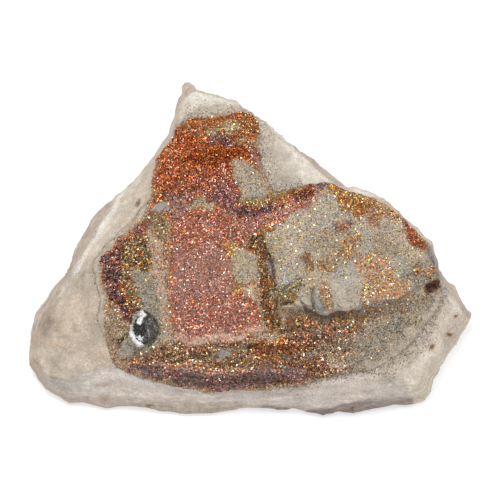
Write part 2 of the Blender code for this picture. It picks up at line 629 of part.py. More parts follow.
def make_white_mineral(centre):
    """The white mineral: a crescent of two patches round the left of the knot."""
    draw = random.Random(4)
    profile = [(0, 0), (1, 0), (1, 0.5), (0.5, 1.0), (0, 0.75)]     # outwards, upwards
    points = []
    for step in range(MINERAL_STEPS + 1):
        share = (step + 0.6) / (MINERAL_STEPS + 1.2)
        angle = MINERAL_START + (MINERAL_END - MINERAL_START) * share
        width = mineral_width(angle) * draw.uniform(0.85, 1.0)
        height = MINERAL_HEIGHT * min(1.0, 0.45 + 0.5 * width) * draw.uniform(0.85, 1.0)
        for outwards, upwards in profile:
            place = around_knot(centre, angle, SEAT_GAP + width * outwards)
            points.append(Vector((*place, centre.z + height * upwards)))
    ring = len(profile)
    last = MINERAL_STEPS * ring
    faces = [tuple(range(ring)), tuple(range(last + ring - 1, last - 1, -1))]
    for step in range(MINERAL_STEPS):
        for corner in range(ring):
            here = step * ring + corner
            beside = step * ring + (corner + 1) % ring
            faces.append((here, here + ring, beside + ring))
            faces.append((here, beside + ring, beside))
    return make_piece("white_mineral", points, faces, (0.86, 0.85, 0.82), 0.7, 0.0)


def main():
    for item in list(bpy.data.objects):
        bpy.data.objects.remove(item, do_unlink=True)

    rim_corners = [on_bench(point) for point in RIM]
    crust_corners = [on_bench(point) for point in CRUST_EDGE]
    lip, foot = ledge_lines()
    chains = [(rim_corners, True), (crust_corners, True), (lip, False), (foot, False)]
    for line in list(ROCK_EDGES.values()) + list(CRUST_EDGES.values()):
        chains.append(([on_bench(point) for point in line], False))
    ground = Ground(chains, [on_bench(point) for point in SPOT_HEIGHTS])

    rim = split_line(rim_corners, RIM_STEP, closed=True)
    edge = split_line(crust_corners, CRUST_STEP, closed=True)
    seat_edge = push_out(edge, SEAT_GAP)

    bed_filling = scatter(edge, [], BED_STEP, edge, seed=3)
    bed_plan, bed_triangles = triangulate([(edge, True)], bed_filling)
    bed_faces = keep_inside(bed_plan, bed_triangles, edge)
    bed_points = []
    for index, place in enumerate(bed_plan):
        if index < len(edge):
            height = ground.height(place.x, place.y) - CRUST_EDGE_DEPTH
        else:
            height = bed_height(ground, place.x, place.y)
        bed_points.append(Vector((place.x, place.y, height)))

    knot_centre = on_bench(KNOT_CENTRE)
    knot_ground = ground.height(knot_centre.x, knot_centre.y)
    knot_centre.z = knot_ground + CRUST_RISE - POCKET_DEPTH + SEAT_GAP
    pieces = [
        make_rock(ground, rim, seat_edge, bed_points, bed_faces),
        make_crust(ground, edge, bed_points, bed_faces, knot_centre),
        make_knot(knot_centre),
        make_white_mineral(knot_centre),
    ]
    centre_x = (min(point.x for point in rim) + max(point.x for point in rim)) / 2
    centre_y = (min(point.y for point in rim) + max(point.y for point in rim)) / 2
    for piece in pieces:
        piece.location = (-centre_x * SCALE * MM, -centre_y * SCALE * MM, 0.0)


main()
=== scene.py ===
"""Looks of the rainbow pyrite specimen: a chip of pale mudstone with a crust of tarnished pyrite.

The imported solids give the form. Here the rock and the crust get finer surfaces, broken chunks
stand along the crust's ledge, crystals cover the crust, and every piece gets a material of
shader nodes.

Places on the specimen are given in sheet millimetres: how far to the right and how far up a
point lies on a flat sheet that is held square to the camera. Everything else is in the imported
model's frame, worked out in millimetres and handed to Blender in metres.
"""

import math
from collections import namedtuple
from itertools import product

import bmesh
import bpy
import numpy as np
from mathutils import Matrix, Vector
from mathutils.bvhtree import BVHTree


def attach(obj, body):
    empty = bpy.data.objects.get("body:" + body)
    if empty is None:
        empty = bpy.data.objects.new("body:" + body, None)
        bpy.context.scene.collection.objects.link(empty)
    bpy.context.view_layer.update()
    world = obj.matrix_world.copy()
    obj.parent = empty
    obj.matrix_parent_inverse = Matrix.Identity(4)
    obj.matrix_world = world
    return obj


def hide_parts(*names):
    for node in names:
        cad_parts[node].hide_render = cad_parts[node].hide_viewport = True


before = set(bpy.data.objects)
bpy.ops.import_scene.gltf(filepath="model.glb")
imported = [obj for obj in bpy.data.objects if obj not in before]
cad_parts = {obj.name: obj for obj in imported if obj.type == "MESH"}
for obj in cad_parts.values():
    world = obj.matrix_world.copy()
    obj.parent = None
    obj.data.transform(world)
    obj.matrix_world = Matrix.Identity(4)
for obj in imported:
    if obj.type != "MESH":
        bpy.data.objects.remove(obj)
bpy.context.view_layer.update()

MM = 0.001
BODY = "root"

# The camera and the sheet that it looks at, with unit vectors across it, up it and off it.
VIEW_ELEVATION = math.radians(68)
VIEW_WIDTH = 100.0
SHEET_MIDDLE = Vector((0.1, 1.66, 0.0))
SHEET_ACROSS = Vector((1.0, 0.0, 0.0))
SHEET_UP = Vector((0.0, math.sin(VIEW_ELEVATION), math.cos(VIEW_ELEVATION)))
TOWARD_VIEWER = Vector((0.0, -math.cos(VIEW_ELEVATION), math.sin(VIEW_ELEVATION)))
CAMERA_LENS = 1200.0
CAMERA_SENSOR = 36.0
CAMERA_CLIP = (0.05, 20.0)
CAMERA_DISTANCE = VIEW_WIDTH * CAMERA_LENS / CAMERA_SENSOR

# How fine the new surfaces are.
ROCK_VOXEL = 0.39
CRUST_VOXEL = 0.33
LUMP_VOXEL = 0.12
SMOOTH_STEPS = 1

# An area drawn on the sheet, and the field values that hold in it. Its border fades over its
# softness to either side, in mm.
Zone = namedtuple("Zone", "name values outline softness", defaults=(0.5,))

# Noise: how far it swings, how wide its bumps are in mm, its seed, and its ever finer layers.
Noise = namedtuple("Noise", "swing cell seed layers")

# A small form: its middle on the sheet, half its length and half its width, its turn from the
# sheet's level in degrees, and its rise, which is below 0 in a pit.
Form = namedtuple("Form", "across up half_length half_width turn rise")

# Places in mm, with the normals of the surface there.
Seeds = namedtuple("Seeds", "places normals")

# ---------------------------------------------------------------- colours of the crust

# film is how thick the tarnish is, from brass at 0 to green at 1; veil is the share that silt
# hides; shade is brightness, which some zones lower as painted shade and some raise as painted
# highlight; cool turns the silt from beige to blue grey. mixed is how much neighbouring crystals
# differ, and the share of dimmed ones; calm evens out the sparkle; streaky sorts the crystals into
# light and dark rows; bare is the share without crystals; rocky is how far the rock laps over the
# crust.
CRUST_START = dict(
    film=0.25, veil=0.9, shade=0.9, cool=0.0, mixed=0.08, calm=0.0, streaky=0.0, bare=0.0, rocky=0.0
)
CRUST_ZONES = (
    Zone("upper block", dict(film=0.425, veil=0.02, shade=1.12, mixed=0.09), (
        (-19, 10), (-19.2, 14.4), (-18.6, 18), (-14.4, 24.4), (-12.8, 25.8), (-1, 28.6), (0.8, 27),
        (0.8, 21.6), (2.4, 13.6), (1.6, 10), (-2, 6.8), (-7, 8), (-13, 7.6), (-17, 8.4))),
    Zone("top stripe", dict(film=0.35, veil=0.12, shade=1.02, mixed=0.12), (
        (-14, 25.2), (-1, 28.6), (0.8, 27), (0.8, 21.6), (-2.8, 21.8), (-5, 22.6), (-9, 21.8),
        (-10.8, 23.2), (-13.6, 23.2))),
    Zone("olive spot", dict(film=0.08, veil=0.35, mixed=0.12), (
        (-8.8, 24.4), (-6.8, 24.8), (-6.2, 22.4), (-8.4, 22.2))),
    Zone("olive silt", dict(film=0.1, veil=0.7, shade=1.0, mixed=0.12), (
        (-5.6, 25.2), (-2, 25.8), (-1.6, 23.4), (-4.8, 23))),
    Zone("top corner", dict(film=0.33, veil=0.1), (
        (-2, 28.4), (0.8, 27), (0.8, 22), (-1.4, 22.4))),
    Zone("dark violet patch", dict(film=0.62, veil=0.2, shade=0.75), (
        (-8, 22.4), (-5.8, 23.2), (-3.2, 22.4), (-3.2, 20.6), (-5.6, 20), (-7.8, 20.6))),
    Zone("silt strip", dict(film=0.15, veil=0.7, shade=1.0), (
        (-3.2, 21.6), (0.8, 22.2), (1, 20.6), (-2.8, 20.2))),
    Zone("orange heart", dict(film=0.39, veil=0.0, shade=0.9, mixed=0.07), (
        (-12, 20.8), (1.2, 20.2), (1.2, 18.4), (-7.2, 16.4), (-10.8, 16.8), (-12.8, 18.4))),
    Zone("red spot", dict(film=0.4, veil=0.0, shade=0.9), (
        (-4, 20.4), (-0.8, 20.6), (-0.4, 18.8), (-3.2, 18.2))),
    Zone("rose fringe", dict(film=0.62, veil=0.3, shade=1.0), (
        (-1, 20.4), (1.6, 20), (2, 16.8), (0, 16.6))),
    Zone("silt corner", dict(film=0.12, veil=0.97, shade=0.9, cool=0.25, mixed=0.14), (
        (-3.8, 17.4), (-1.8, 18), (-0.6, 16.6), (1.6, 16.6), (3.6, 11.4), (2.4, 10.2), (-0.4, 9.6),
        (-2.6, 10.4), (-3.4, 13.2))),
    Zone("blue corner", dict(veil=1.0, shade=0.95, cool=0.7, bare=0.6), (
        (-2, 10.8), (2.4, 12), (3.8, 10.8), (1.6, 9.8), (-1.2, 9.4))),
    Zone("rose band", dict(film=0.47, veil=0.02, shade=1.15, mixed=0.1), (
        (-14.8, 15.6), (-10, 16.4), (-4.4, 16), (-3.6, 14), (-4.8, 12), (-14.8, 12))),
    Zone("violet foot", dict(film=0.59, veil=0.1, shade=1.06, mixed=0.09), (
        (-18, 12), (-13, 11.6), (-7.2, 12.4), (-4.8, 14), (-2.8, 13.2), (-2, 10), (1.6, 8.8), (-0.8, 6.4),
        (-4.4, 7.2), (-7.2, 8.8), (-8.8, 10.4), (-12.8, 10.4), (-16.8, 9.4))),
    Zone("olive patch", dict(film=0.08, veil=0.75, shade=1.0), (
        (-12.4, 10), (-10, 10.6), (-7.2, 10.2), (-6.8, 8.8), (-8.4, 7.4), (-11.6, 7.6), (-12.8, 8.8))),
    Zone("violet silt", dict(film=0.62, veil=0.5, shade=0.9), (
        (-16.8, 10.8), (-12.8, 10.2), (-12, 7.6), (-15.6, 7.6))),
    Zone("blue chip", dict(veil=1.0, shade=0.95, cool=0.6, mixed=0.0, bare=1.0), (
        (-19.8, 8), (-19.2, 9.2), (-17.4, 10), (-16.2, 9.2), (-15.8, 8.4), (-16.2, 7.8), (-17.6, 8),
        (-18.8, 7.2), (-19.6, 7.4)), 0.12),
    Zone("blue chip edge", dict(film=0.42, veil=0.2, shade=0.8), (
        (-20, 8.2), (-19.2, 9.6), (-17.4, 10.4), (-15.8, 9.2), (-15.6, 8.4), (-16.2, 9.2), (-17.4, 9.9),
        (-19, 9.1)), 0.12),
    Zone("arm", dict(film=0.555, veil=0.08, shade=1.66, mixed=0.11), (
        (-4.8, 7.2), (-2, 8.8), (5.2, 10), (13.6, 13.2), (16, 13), (15.6, 11.2), (6, 4.8), (2.4, 3.6),
        (2.4, 2), (-1.2, 2.4), (-4.4, 4.8))),
    Zone("arm gold fringe", dict(film=0.14, veil=0.2, shade=0.9), (
        (-2.4, 10), (2.4, 10), (5.2, 10.6), (13.2, 13.4), (13.2, 12.4), (5.2, 9), (1.6, 8.4), (-2, 8.4))),
    Zone("arm violet streak", dict(film=0.66, veil=0.12, shade=0.72, calm=-0.4), (
        (-2.8, 8.4), (1.2, 8), (6.8, 9.2), (6.4, 8), (-0.8, 6.2), (-2.8, 6.8))),
    Zone("arm hollow", dict(film=0.5, veil=0.0, shade=0.5), (
        (8.4, 11.2), (12, 12.4), (12.8, 11.6), (9.6, 9.6))),
    Zone("arm tip", dict(film=0.74, veil=0.4, shade=0.95), (
        (13.2, 13.2), (16, 13.4), (16, 12), (14, 11))),
    Zone("arm lower fringe", dict(film=0.16, veil=0.1, shade=0.9), (
        (1.6, 3.6), (2.4, 4.8), (6.4, 6.2), (10, 8.2), (10.4, 7.2), (7.2, 4.8), (3.2, 3.4))),
    Zone("panel", dict(film=0.555, veil=0.2, shade=1.34, mixed=0.05, calm=0.4), (
        (-17.4, 7.2), (-8.8, 8.8), (-2, 4.8), (2.4, 3.6), (1.6, 0), (1.2, -10), (2.4, -16), (-2, -17.4),
        (-10, -17.8), (-14.4, -17.4), (-16, -10), (-17.2, 0))),
    Zone("panel head", dict(film=0.525, veil=0.08, shade=1.42, mixed=0.08, calm=0.1), (
        (-17, 7.6), (-9, 8.8), (0, 3), (-2, 0), (-10, 0), (-16, 1))),
    Zone("panel haze", dict(film=0.57, veil=0.27, shade=1.32), (
        (-14, -2.4), (-10, -0.8), (-4.8, -2.4), (-2.8, -8), (-4.8, -12), (-10, -12.4), (-13.2, -10)), 1.2),
    Zone("panel gold edge", dict(film=0.3, veil=0.5, shade=1.05, mixed=0.16, calm=0.0), (
        (-17.8, 7.2), (-16.8, 7.2), (-14.4, -17), (-15.4, -17), (-16.4, -10), (-17.6, 0)), 0.7),
    Zone("panel gold patch", dict(film=0.2, veil=0.2), (
        (-5.6, 1.4), (-2, 2), (-0.8, 0.8), (-2.8, -2.4), (-4.8, -2.4))),
    Zone("panel silt patch", dict(film=0.12, veil=0.94, shade=0.95, cool=0.2, calm=0.0), (
        (-2, 1), (0.8, 0.6), (2.4, -2.4), (1.4, -6.4), (-1.8, -7.6), (-3.4, -5.2), (-4.2, -2.4))),
    Zone("panel orange corner", dict(film=0.25, veil=0.2), (
        (-3.6, -6), (-1.2, -6), (-0.8, -9.2), (-3.2, -10.4))),
    Zone("panel silt spot", dict(film=0.1, veil=0.88, cool=0.2, calm=0.0), (
        (-1, -7.8), (1.4, -7), (1.6, -10.4), (-0.8, -10.8))),
    Zone("panel foot", dict(film=0.535, veil=0.12, shade=1.34, mixed=0.07, calm=0.2), (
        (-12.8, -10), (0.4, -9.2), (2.4, -13.6), (2.4, -16), (-10, -17), (-13.6, -16))),
    Zone("pale sill", dict(film=0.45, veil=0.85, shade=1.35), (
        (-16.8, -17), (-10, -17.2), (-2.8, -16.8), (2.4, -15.2), (3.2, -16), (-2, -18), (-10, -18.8),
        (-16.4, -18.8))),
    Zone("silt strip by panel", dict(film=0.3, veil=0.96, shade=1.05, cool=0.05, mixed=0.2), (
        (-20.8, 6.8), (-18.4, 7.2), (-15, -18), (-15.6, -20.4), (-18, -20.4), (-18.4, -8), (-20, 0))),
    Zone("left lobe border", dict(film=0.5, veil=0.3, shade=0.72), (
        (-16.4, 8.4), (-20, 7.2), (-26.4, 2), (-29.2, -0.8), (-30.4, -3), (-27.6, -4), (-22, 2), (-20, 4.8),
        (-18, 6))),
    Zone("left lobe gold", dict(film=0.19, veil=0.28, shade=0.62, mixed=0.16, calm=-0.6), (
        (-25.6, 1.6), (-22.8, 3.6), (-20.8, 2.8), (-19.6, -1.6), (-20, -4), (-23.2, -4), (-26, -2.4))),
    Zone("gold below the chip", dict(film=0.14, veil=0.4, shade=0.85, mixed=0.14), (
        (-19.8, 7.2), (-16.8, 7.6), (-16.2, 4.8), (-18, 2.4), (-19.6, 4)), 0.4),
    Zone("maroon rim", dict(film=0.62, veil=0.12, shade=0.72, mixed=0.13, calm=-0.6), (
        (-30, -1.2), (-28.4, 0.4), (-25.6, -0.4), (-25.2, -3.6), (-25.6, -7), (-23.6, -11), (-23.2, -13.6),
        (-25.6, -13.6), (-27.6, -10), (-29.2, -7), (-30.2, -4))),
    Zone("gold flank", dict(film=0.22, veil=0.35, shade=0.7, mixed=0.16, calm=-0.6), (
        (-25.6, -2.4), (-23.6, -3.6), (-22.8, -8), (-20.8, -10), (-20, -12.4), (-22.8, -13.6), (-24.8, -10),
        (-25.8, -6))),
    Zone("grey lobe", dict(film=0.1, veil=0.95, shade=0.72, cool=0.4, mixed=0.12), (
        (-23.6, -3.6), (-20, -4.4), (-18, -10), (-17.2, -18), (-18.8, -20.4), (-24, -21.6), (-26.4, -20),
        (-24.4, -16), (-22, -12.4))),
    Zone("knot foot", dict(veil=1.0, shade=0.85, cool=0.5, mixed=0.1, bare=0.7), (
        (-26, -18.4), (-24, -16.8), (-22, -20), (-19.6, -19.2), (-18.4, -20.4), (-20.8, -21.6),
        (-24.4, -21.6), (-26.4, -20.4)), 0.4),
    Zone("grey lobe shade", dict(shade=0.7), (
        (-20.4, -10), (-18, -12.4), (-17.6, -16.4), (-18.8, -18), (-18.8, -14.4), (-20, -12)), 0.6),
    Zone("speckled lobe", dict(film=0.2, veil=0.72, shade=0.86, mixed=0.18), (
        (-29.8, -10), (-27.6, -10), (-25.2, -13.6), (-24.4, -16.4), (-26.4, -19.2), (-27.6, -22),
        (-26, -22.8), (-27.6, -23.2), (-29.2, -19), (-30.4, -14.4))),
    # Painted shade: a dark line in the groove that a crust form cuts here.
    Zone("dark notch", dict(veil=0.3, shade=0.35), (
        (-26.8, -19.2), (-24.6, -16), (-23.8, -16.4), (-25.8, -19.6))),
    # The gully's colours are its own; its low shade is partly painted shade from the block's step beside
    # it.
    Zone("gully", dict(film=0.25, veil=0.28, shade=0.67, mixed=0.16, calm=-0.6), (
        (-0.4, 2.8), (2.4, 3.6), (4.4, -1.2), (5.2, -11.2), (6.8, -15.2), (6.4, -17.6), (4, -17.6),
        (2.8, -14), (1.2, -0.4)), 0.3),
    Zone("right block", dict(film=0.15, veil=0.91, shade=1.12, cool=0.95, mixed=0.1), (
        (2.8, 3.6), (14, 10.8), (18, 12.4), (24.4, 10), (30, 7), (38, -5), (37.6, -7), (30, -10.4),
        (16.2, -12.6), (5.4, -11.2), (5.4, -6), (4.6, -1.2))),
    Zone("block pale corner", dict(shade=1.18, cool=0.5), (
        (4, 4), (8, 6.8), (13, 9.4), (15.2, 7.6), (12.4, 3.6), (5.2, -2.4), (4, 0.8)), 0.8),
    Zone("block dusk", dict(shade=0.82, cool=0.0), (
        (12.4, 1.2), (16.4, 4.4), (20.4, 2.4), (19.2, -2.4), (16, -4.4), (13.2, -2.4)), 1),
    Zone("block right dusk", dict(shade=0.8, cool=0.2), (
        (22.8, 2), (27.6, 3.2), (30.4, 0), (29.2, -2.8), (24.4, -1.6)), 1),
    Zone("block right pale", dict(shade=1.12, cool=0.3), (
        (28.4, 5.6), (32.4, 2.8), (34.8, -1.2), (33.6, -3.2), (30.8, -0.8), (28.4, 2.4)), 0.6),
    Zone("block low pale", dict(shade=1.1, cool=0.1), (
        (10, -2.4), (14, -4), (16, -7.2), (13.6, -6.8), (11.2, -7.6), (9.2, -5.2)), 0.8),
    Zone("block end grey", dict(shade=0.8, cool=0.6), (
        (30.4, -2.4), (34.8, -2.4), (36.8, -6.4), (34, -7.6), (30.8, -6)), 0.8),
    Zone("block crest gold", dict(film=0.24, veil=0.12, shade=1.15), (
        (15.6, 12.8), (19, 12.4), (21.2, 11.6), (24.8, 9.2), (24.8, 7.2), (20.4, 7), (17.6, 8.6))),
    Zone("block crest right", dict(film=0.26, veil=0.4, shade=1.2, mixed=0.12), (
        (24.4, 10.4), (28.4, 8.4), (30.4, 6.8), (29.2, 5.6), (25.6, 6.4), (24.4, 7.6))),
    Zone("block red rim", dict(film=0.42, veil=0.1, shade=0.85), (
        (29.6, 7.6), (31.6, 6), (33.2, 4), (35, 0.4), (34, -0.8), (30.8, 4.4))),
    Zone("block middle spot", dict(film=0.24, veil=0.45, shade=1.25, mixed=0.12), (
        (17.6, 2), (20, 3.2), (22.4, 3.6), (22, 0.8), (20, -1.6), (18.4, -0.4))),
    Zone("block upper spot", dict(film=0.3, veil=0.5, shade=0.85), (
        (17, 5.6), (20.4, 5.6), (20.4, 3.6), (17.6, 3.6))),
    Zone("block right spot", dict(film=0.35, veil=0.45, shade=0.95), (
        (23.2, 6.8), (25.6, 7.6), (25.6, 5.2), (23.6, 4.8))),
    Zone("block left spot", dict(film=0.25, veil=0.35, shade=0.95), (
        (9.2, -0.4), (11.2, 0), (12.8, -2.8), (12.4, -4), (10.8, -3.6))),
    Zone("block faint gold", dict(film=0.18, veil=0.6), (
        (13.6, -2.4), (18, -1.2), (19, -3.2), (15, -5))),
    Zone("block gold field", dict(film=0.265, veil=0.5, shade=1.55, mixed=0.12), (
        (21, -2), (25.2, -1.2), (28, -1.6), (29.2, -4.4), (31.6, -6.4), (32.4, -8.4), (30, -10), (26, -10),
        (22.4, -11.6), (21.6, -9.2), (22.4, -6), (20.8, -3.6))),
    Zone("block left field", dict(film=0.14, veil=0.35, shade=0.8), (
        (4, -7.2), (9.2, -6), (10, -8.4), (9.2, -10.8), (6, -11.2), (4.4, -10))),
    Zone("block left speckle", dict(film=0.12, veil=0.65), (
        (2.6, 2.8), (5, 3.6), (6.8, 0), (6.4, -4), (4.8, -2.4))),
    Zone("block small spot", dict(film=0.27, veil=0.3), (
        (32.4, -2.8), (34, -2.4), (34, -4.4), (32.4, -4.4))),
    Zone("block end spot", dict(film=0.3, veil=0.3), (
        (35.2, -3.2), (36.8, -3.2), (36.8, -5.2), (35.4, -5.2))),
    Zone("pale lip", dict(veil=1.0, shade=1.15, cool=0.1, mixed=0.0, bare=1.0), (
        (6, -11.4), (8.4, -10.6), (9.6, -9.8), (10.8, -10.6), (11, -11.2), (10, -11.4), (8.4, -11.5),
        (7.2, -11.8)), 0.12),
    Zone("facet by the lip", dict(veil=1.0, shade=1.05, cool=0.1, mixed=0.0, bare=1.0), (
        (10.2, -9.6), (11.2, -9), (12.2, -9.4), (12.4, -10.6), (12.4, -11.8), (11.6, -11.6),
        (10.8, -10.8)), 0.12),
    Zone("pale saddle", dict(film=0.1, veil=1.0, shade=1.08, cool=0.3, mixed=0.04, bare=0.8), (
        (15.6, -7.2), (20.4, -4.4), (22, -11), (20.4, -12), (16.4, -12.2)), 1),
    Zone("saddle rim", dict(veil=1.0, shade=1.22, cool=0.3), (
        (16.8, -11.4), (18.8, -11), (20.4, -11.4), (21.6, -10.4), (22.2, -11), (20.4, -12.2),
        (17.2, -12.1)), 0.25),
    Zone("nodule face", dict(veil=1.0, shade=0.84, cool=0.7, mixed=0.0, bare=1.0), (
        (12.8, -7.2), (13.4, -7.2), (13.8, -8.2), (13.6, -9.2), (14.2, -10.4), (15.4, -12), (16, -12.2),
        (15.6, -12.8), (14.4, -12.8), (12.8, -11.8), (12.2, -10), (12.4, -8.6)), 0.12),
    Zone("nodule crest", dict(film=0.24, veil=0.45, shade=1.3, cool=0.0, mixed=0.2, bare=0.35), (
        (13.6, -6.8), (15.2, -6.2), (16, -8), (16.6, -10.4), (16.2, -12.2), (15.4, -12), (14.2, -10.4),
        (13.6, -9.2), (13.8, -8)), 0.15),
    # Painted highlight: a lighter patch on top of the nodule's knob.
    Zone("nodule light", dict(veil=1.0, shade=1.25, cool=0.5, mixed=0.0), (
        (13.2, -7.4), (13.6, -7.2), (14.2, -6.6), (14.6, -7), (14.2, -8.2), (13.8, -8.6), (13.4, -8.8),
        (13.2, -8.2)), 0.1),
    Zone("nodule rim", dict(veil=1.0, shade=1.3, cool=0.9), (
        (13.6, -12.4), (14.6, -12.4), (15.6, -12.2), (16.2, -11.9), (15.8, -12.6), (14.8, -13),
        (13.8, -12.7)), 0.1),
    Zone("lower field", dict(film=0.3, veil=0.52, shade=0.67, mixed=0.22, calm=-0.5, streaky=0.8), (
        (-26, -22.4), (-22, -20), (-16.8, -18.8), (-10, -18.8), (-2, -18), (6, -16), (10, -14), (24, -13.6),
        (23.6, -20), (20, -23.6), (12, -26), (2, -27.6), (-8, -27), (-20, -25.6))),
    Zone("ledge shade", dict(film=0.2, veil=0.8, shade=0.62), (
        (6.4, -11.8), (16, -13), (30, -10.8), (35, -9), (35.6, -10.2), (30, -12.2), (23.2, -13.8),
        (16, -14.8), (8, -14.4)), 0.4),
    Zone("nodule shade", dict(film=0.2, veil=0.85, shade=0.34), (
        (10.8, -11.4), (11.8, -11.9), (12.8, -12.1), (14, -12.8), (15.6, -13.1), (16.6, -12.4), (18, -12.1),
        (19.6, -12.4), (21.2, -11.9), (22.4, -11.2), (22.4, -11.8), (20.8, -12.6), (16.4, -13.6),
        (14.4, -13.8), (10.8, -12.2)), 0.2),
    Zone("gold below ledge", dict(film=0.24, veil=0.35, shade=0.98, mixed=0.16), (
        (15.2, -16), (18, -13.6), (23.6, -12), (26.4, -12), (24.4, -14), (20.4, -16.4), (16.4, -17.2))),
    Zone("orange below ledge", dict(film=0.33, veil=0.5, shade=0.75, mixed=0.14), (
        (7.6, -13.6), (11.6, -12.8), (13.6, -14.4), (12.4, -17.2), (9.2, -17.2), (7.2, -15.6))),
    Zone("silt arc", dict(film=0.1, veil=0.9, shade=0.95), (
        (-5.6, -21.4), (2.4, -17.2), (6, -16.4), (6.8, -18.4), (2.4, -19.2), (-4.4, -22))),
    Zone("red thread", dict(film=0.45, veil=0.1, shade=0.8), (
        (8, -19.2), (12, -17.6), (16.4, -16.4), (16.4, -17.2), (8.4, -20))),
    Zone("violet silt streak", dict(film=0.7, veil=0.8, cool=0.3), (
        (13.6, -17), (20.4, -16.4), (20.4, -18.4), (14.4, -18.8))),
    Zone("red terraces", dict(film=0.37, veil=0.18, shade=0.96, mixed=0.16, calm=-0.5, streaky=1.0), (
        (0, -18.8), (8, -17.8), (12, -19), (10, -20.4), (2.4, -22.4), (0, -24.4), (-2, -23.2))),
    Zone("teal spark", dict(film=0.8, veil=0.35, shade=0.95, mixed=0.14), (
        (10.8, -20.4), (13.6, -19.6), (16, -20.4), (15.2, -22), (11.6, -22))),
    Zone("lower gold", dict(film=0.25, veil=0.42, shade=0.66, mixed=0.2, calm=-0.5, streaky=1.0), (
        (-16.8, -20), (-10, -18.8), (-2, -20.6), (2.4, -22.2), (2.4, -24), (-10, -23.2), (-18, -22))),
    Zone("lower brown", dict(film=0.36, veil=0.4, shade=0.74, mixed=0.2, calm=-0.5, streaky=1.0), (
        (2.4, -23.2), (10, -22), (19, -21.6), (20, -23.2), (12, -26), (6, -27.6), (2.4, -26.8))),
    Zone("lower right mix", dict(film=0.24, veil=0.68, shade=0.76, mixed=0.24, streaky=0.6), (
        (13.6, -17.6), (20.4, -16.4), (23.6, -18.8), (22.4, -22.4), (16, -23.2), (12.4, -21.2)), 0.8),
    Zone("pale patch low", dict(veil=0.9, shade=1.2, mixed=0.2), (
        (15.2, -21.6), (18.8, -21.2), (20.4, -22.8), (17.6, -23.6), (15.2, -23.2))),
    Zone("violet band", dict(film=0.66, veil=0.4, shade=0.79, mixed=0.08, calm=0.2, streaky=1.0), (
        (-24.8, -23.2), (-18, -23.2), (-10, -24), (0, -24.4), (10, -23.6), (11.2, -25.6), (2.4, -27.6),
        (-8, -28.4), (-24, -24.4))),
    Zone("blue spot", dict(veil=1.0, shade=0.9, cool=0.9, bare=0.8), (
        (-6.2, -20.4), (-4.4, -20), (-3.8, -21.2), (-5.6, -21.8))),
    Zone("right slope", dict(film=0.1, veil=0.96, shade=0.72, cool=0.3, mixed=0.28), (
        (20.4, -18.4), (24.4, -14), (34, -10.4), (38.4, -8), (36, -14), (30.8, -20), (24.8, -23.6),
        (20.4, -23.6)), 1.5),
    Zone("slope fade", dict(veil=1.0, shade=1.01, cool=0.2, mixed=0.24, bare=0.5, rocky=0.5), (
        (40, -8.4), (41.6, -10.8), (40, -15.2), (37.2, -20.4), (32.8, -24.4), (26.8, -27.2), (20, -28.4),
        (20, -24.8), (25.2, -22.4), (29.6, -19.2), (36.8, -10.8)), 2),
    # Painted highlight: a brighter row of crystals along the crest of a low ridge at the bottom of the
    # crust.
    Zone("bright row", dict(film=0.5, veil=0.4, shade=1.6, mixed=0.2, calm=0.0), (
        (-24.4, -22.4), (-14, -22.8), (-2.8, -24.4), (-2.8, -25), (-14, -23.6), (-24.4, -23.2))),
    Zone("slate strip", dict(veil=1.0, shade=0.7, cool=1.0, bare=0.9), (
        (34.8, 1.8), (36, 1.4), (37.6, -2.4), (38.4, -6), (37.4, -6.2))),
    Zone("gully chip", dict(veil=1.0, shade=0.75, cool=0.9, bare=1.0), (
        (3, -1.2), (4.2, -1.2), (5, -3.6), (4.6, -5.4), (3.6, -4.8)), 0.12),
    # Painted shade: the next four zones darken the crevices round the nodule and beside the lip.
    Zone("crevice left of the nodule", dict(veil=1.0, shade=0.38, cool=0.0, bare=1.0), (
        (12.6, -7), (13, -7.2), (12.5, -9.2), (12.4, -10.2), (12.8, -11), (13, -11.6), (12.8, -12),
        (12.2, -11.9), (12.3, -11.2), (12.1, -10.2), (12.2, -8.8)), 0.1),
    Zone("crevice in the nodule", dict(veil=1.0, shade=0.42, cool=0.2, bare=1.0), (
        (13.4, -9), (13.7, -9), (14.8, -11.1), (15.6, -11.9), (15.4, -12.1), (14.6, -11.4),
        (13.96, -10.3)), 0.1),
    Zone("crevice right of the nodule", dict(veil=1.0, shade=0.6, bare=1.0), (
        (16, -9.2), (16.3, -9.4), (16.8, -10.6), (16.8, -12), (16.4, -12.2), (16.4, -10.6)), 0.15),
    Zone("crevice by the lip", dict(veil=1.0, shade=0.55, bare=1.0), (
        (9.8, -9.6), (10.2, -9.6), (11, -11), (10.7, -11.1)), 0.1),
    # Painted shade: a dark line on the steep wall between the gully and the right block.
    Zone("gully edge", dict(veil=0.7, shade=0.32), (
        (2, 2.8), (2.4, 3), (4.6, -2.4), (5.3, -6), (5.7, -12), (6.4, -14.6), (5.9, -14.8), (5.1, -12),
        (4.7, -6), (4.1, -2.8), (3, -0.4)), 0.12),
    Zone("rock at the left border", dict(bare=1.0, rocky=1.0), (
        (-20, 9.2), (-22.4, 6), (-25, 3.72), (-29, -0.28), (-30.14, -2.28), (-30.28, -5.14),
        (-29.28, -9.72), (-29.2, -14), (-28.8, -18), (-27.6, -22), (-30, -23.2), (-32, -16), (-33.2, -8),
        (-33.6, -2.4), (-30.8, 1.2), (-26.8, 5.6), (-22, 9.6)), 0.12),
    Zone("rock at the right border", dict(bare=0.7, rocky=0.9), (
        (38.8, -8), (40.4, -10), (39.2, -14.4), (36.4, -19.6), (32, -24), (26.8, -26.4), (22.8, -27.2),
        (23.2, -25.2), (30.4, -20.8), (34, -16.8)), 1.2),
    # Painted shade: the pit that a crust form sinks here is darkened inside, over its own colour.
    Zone("black pit", dict(film=0.3, veil=0.4, shade=0.24, cool=0.0, mixed=0.12, bare=0.0, rocky=0.0), (
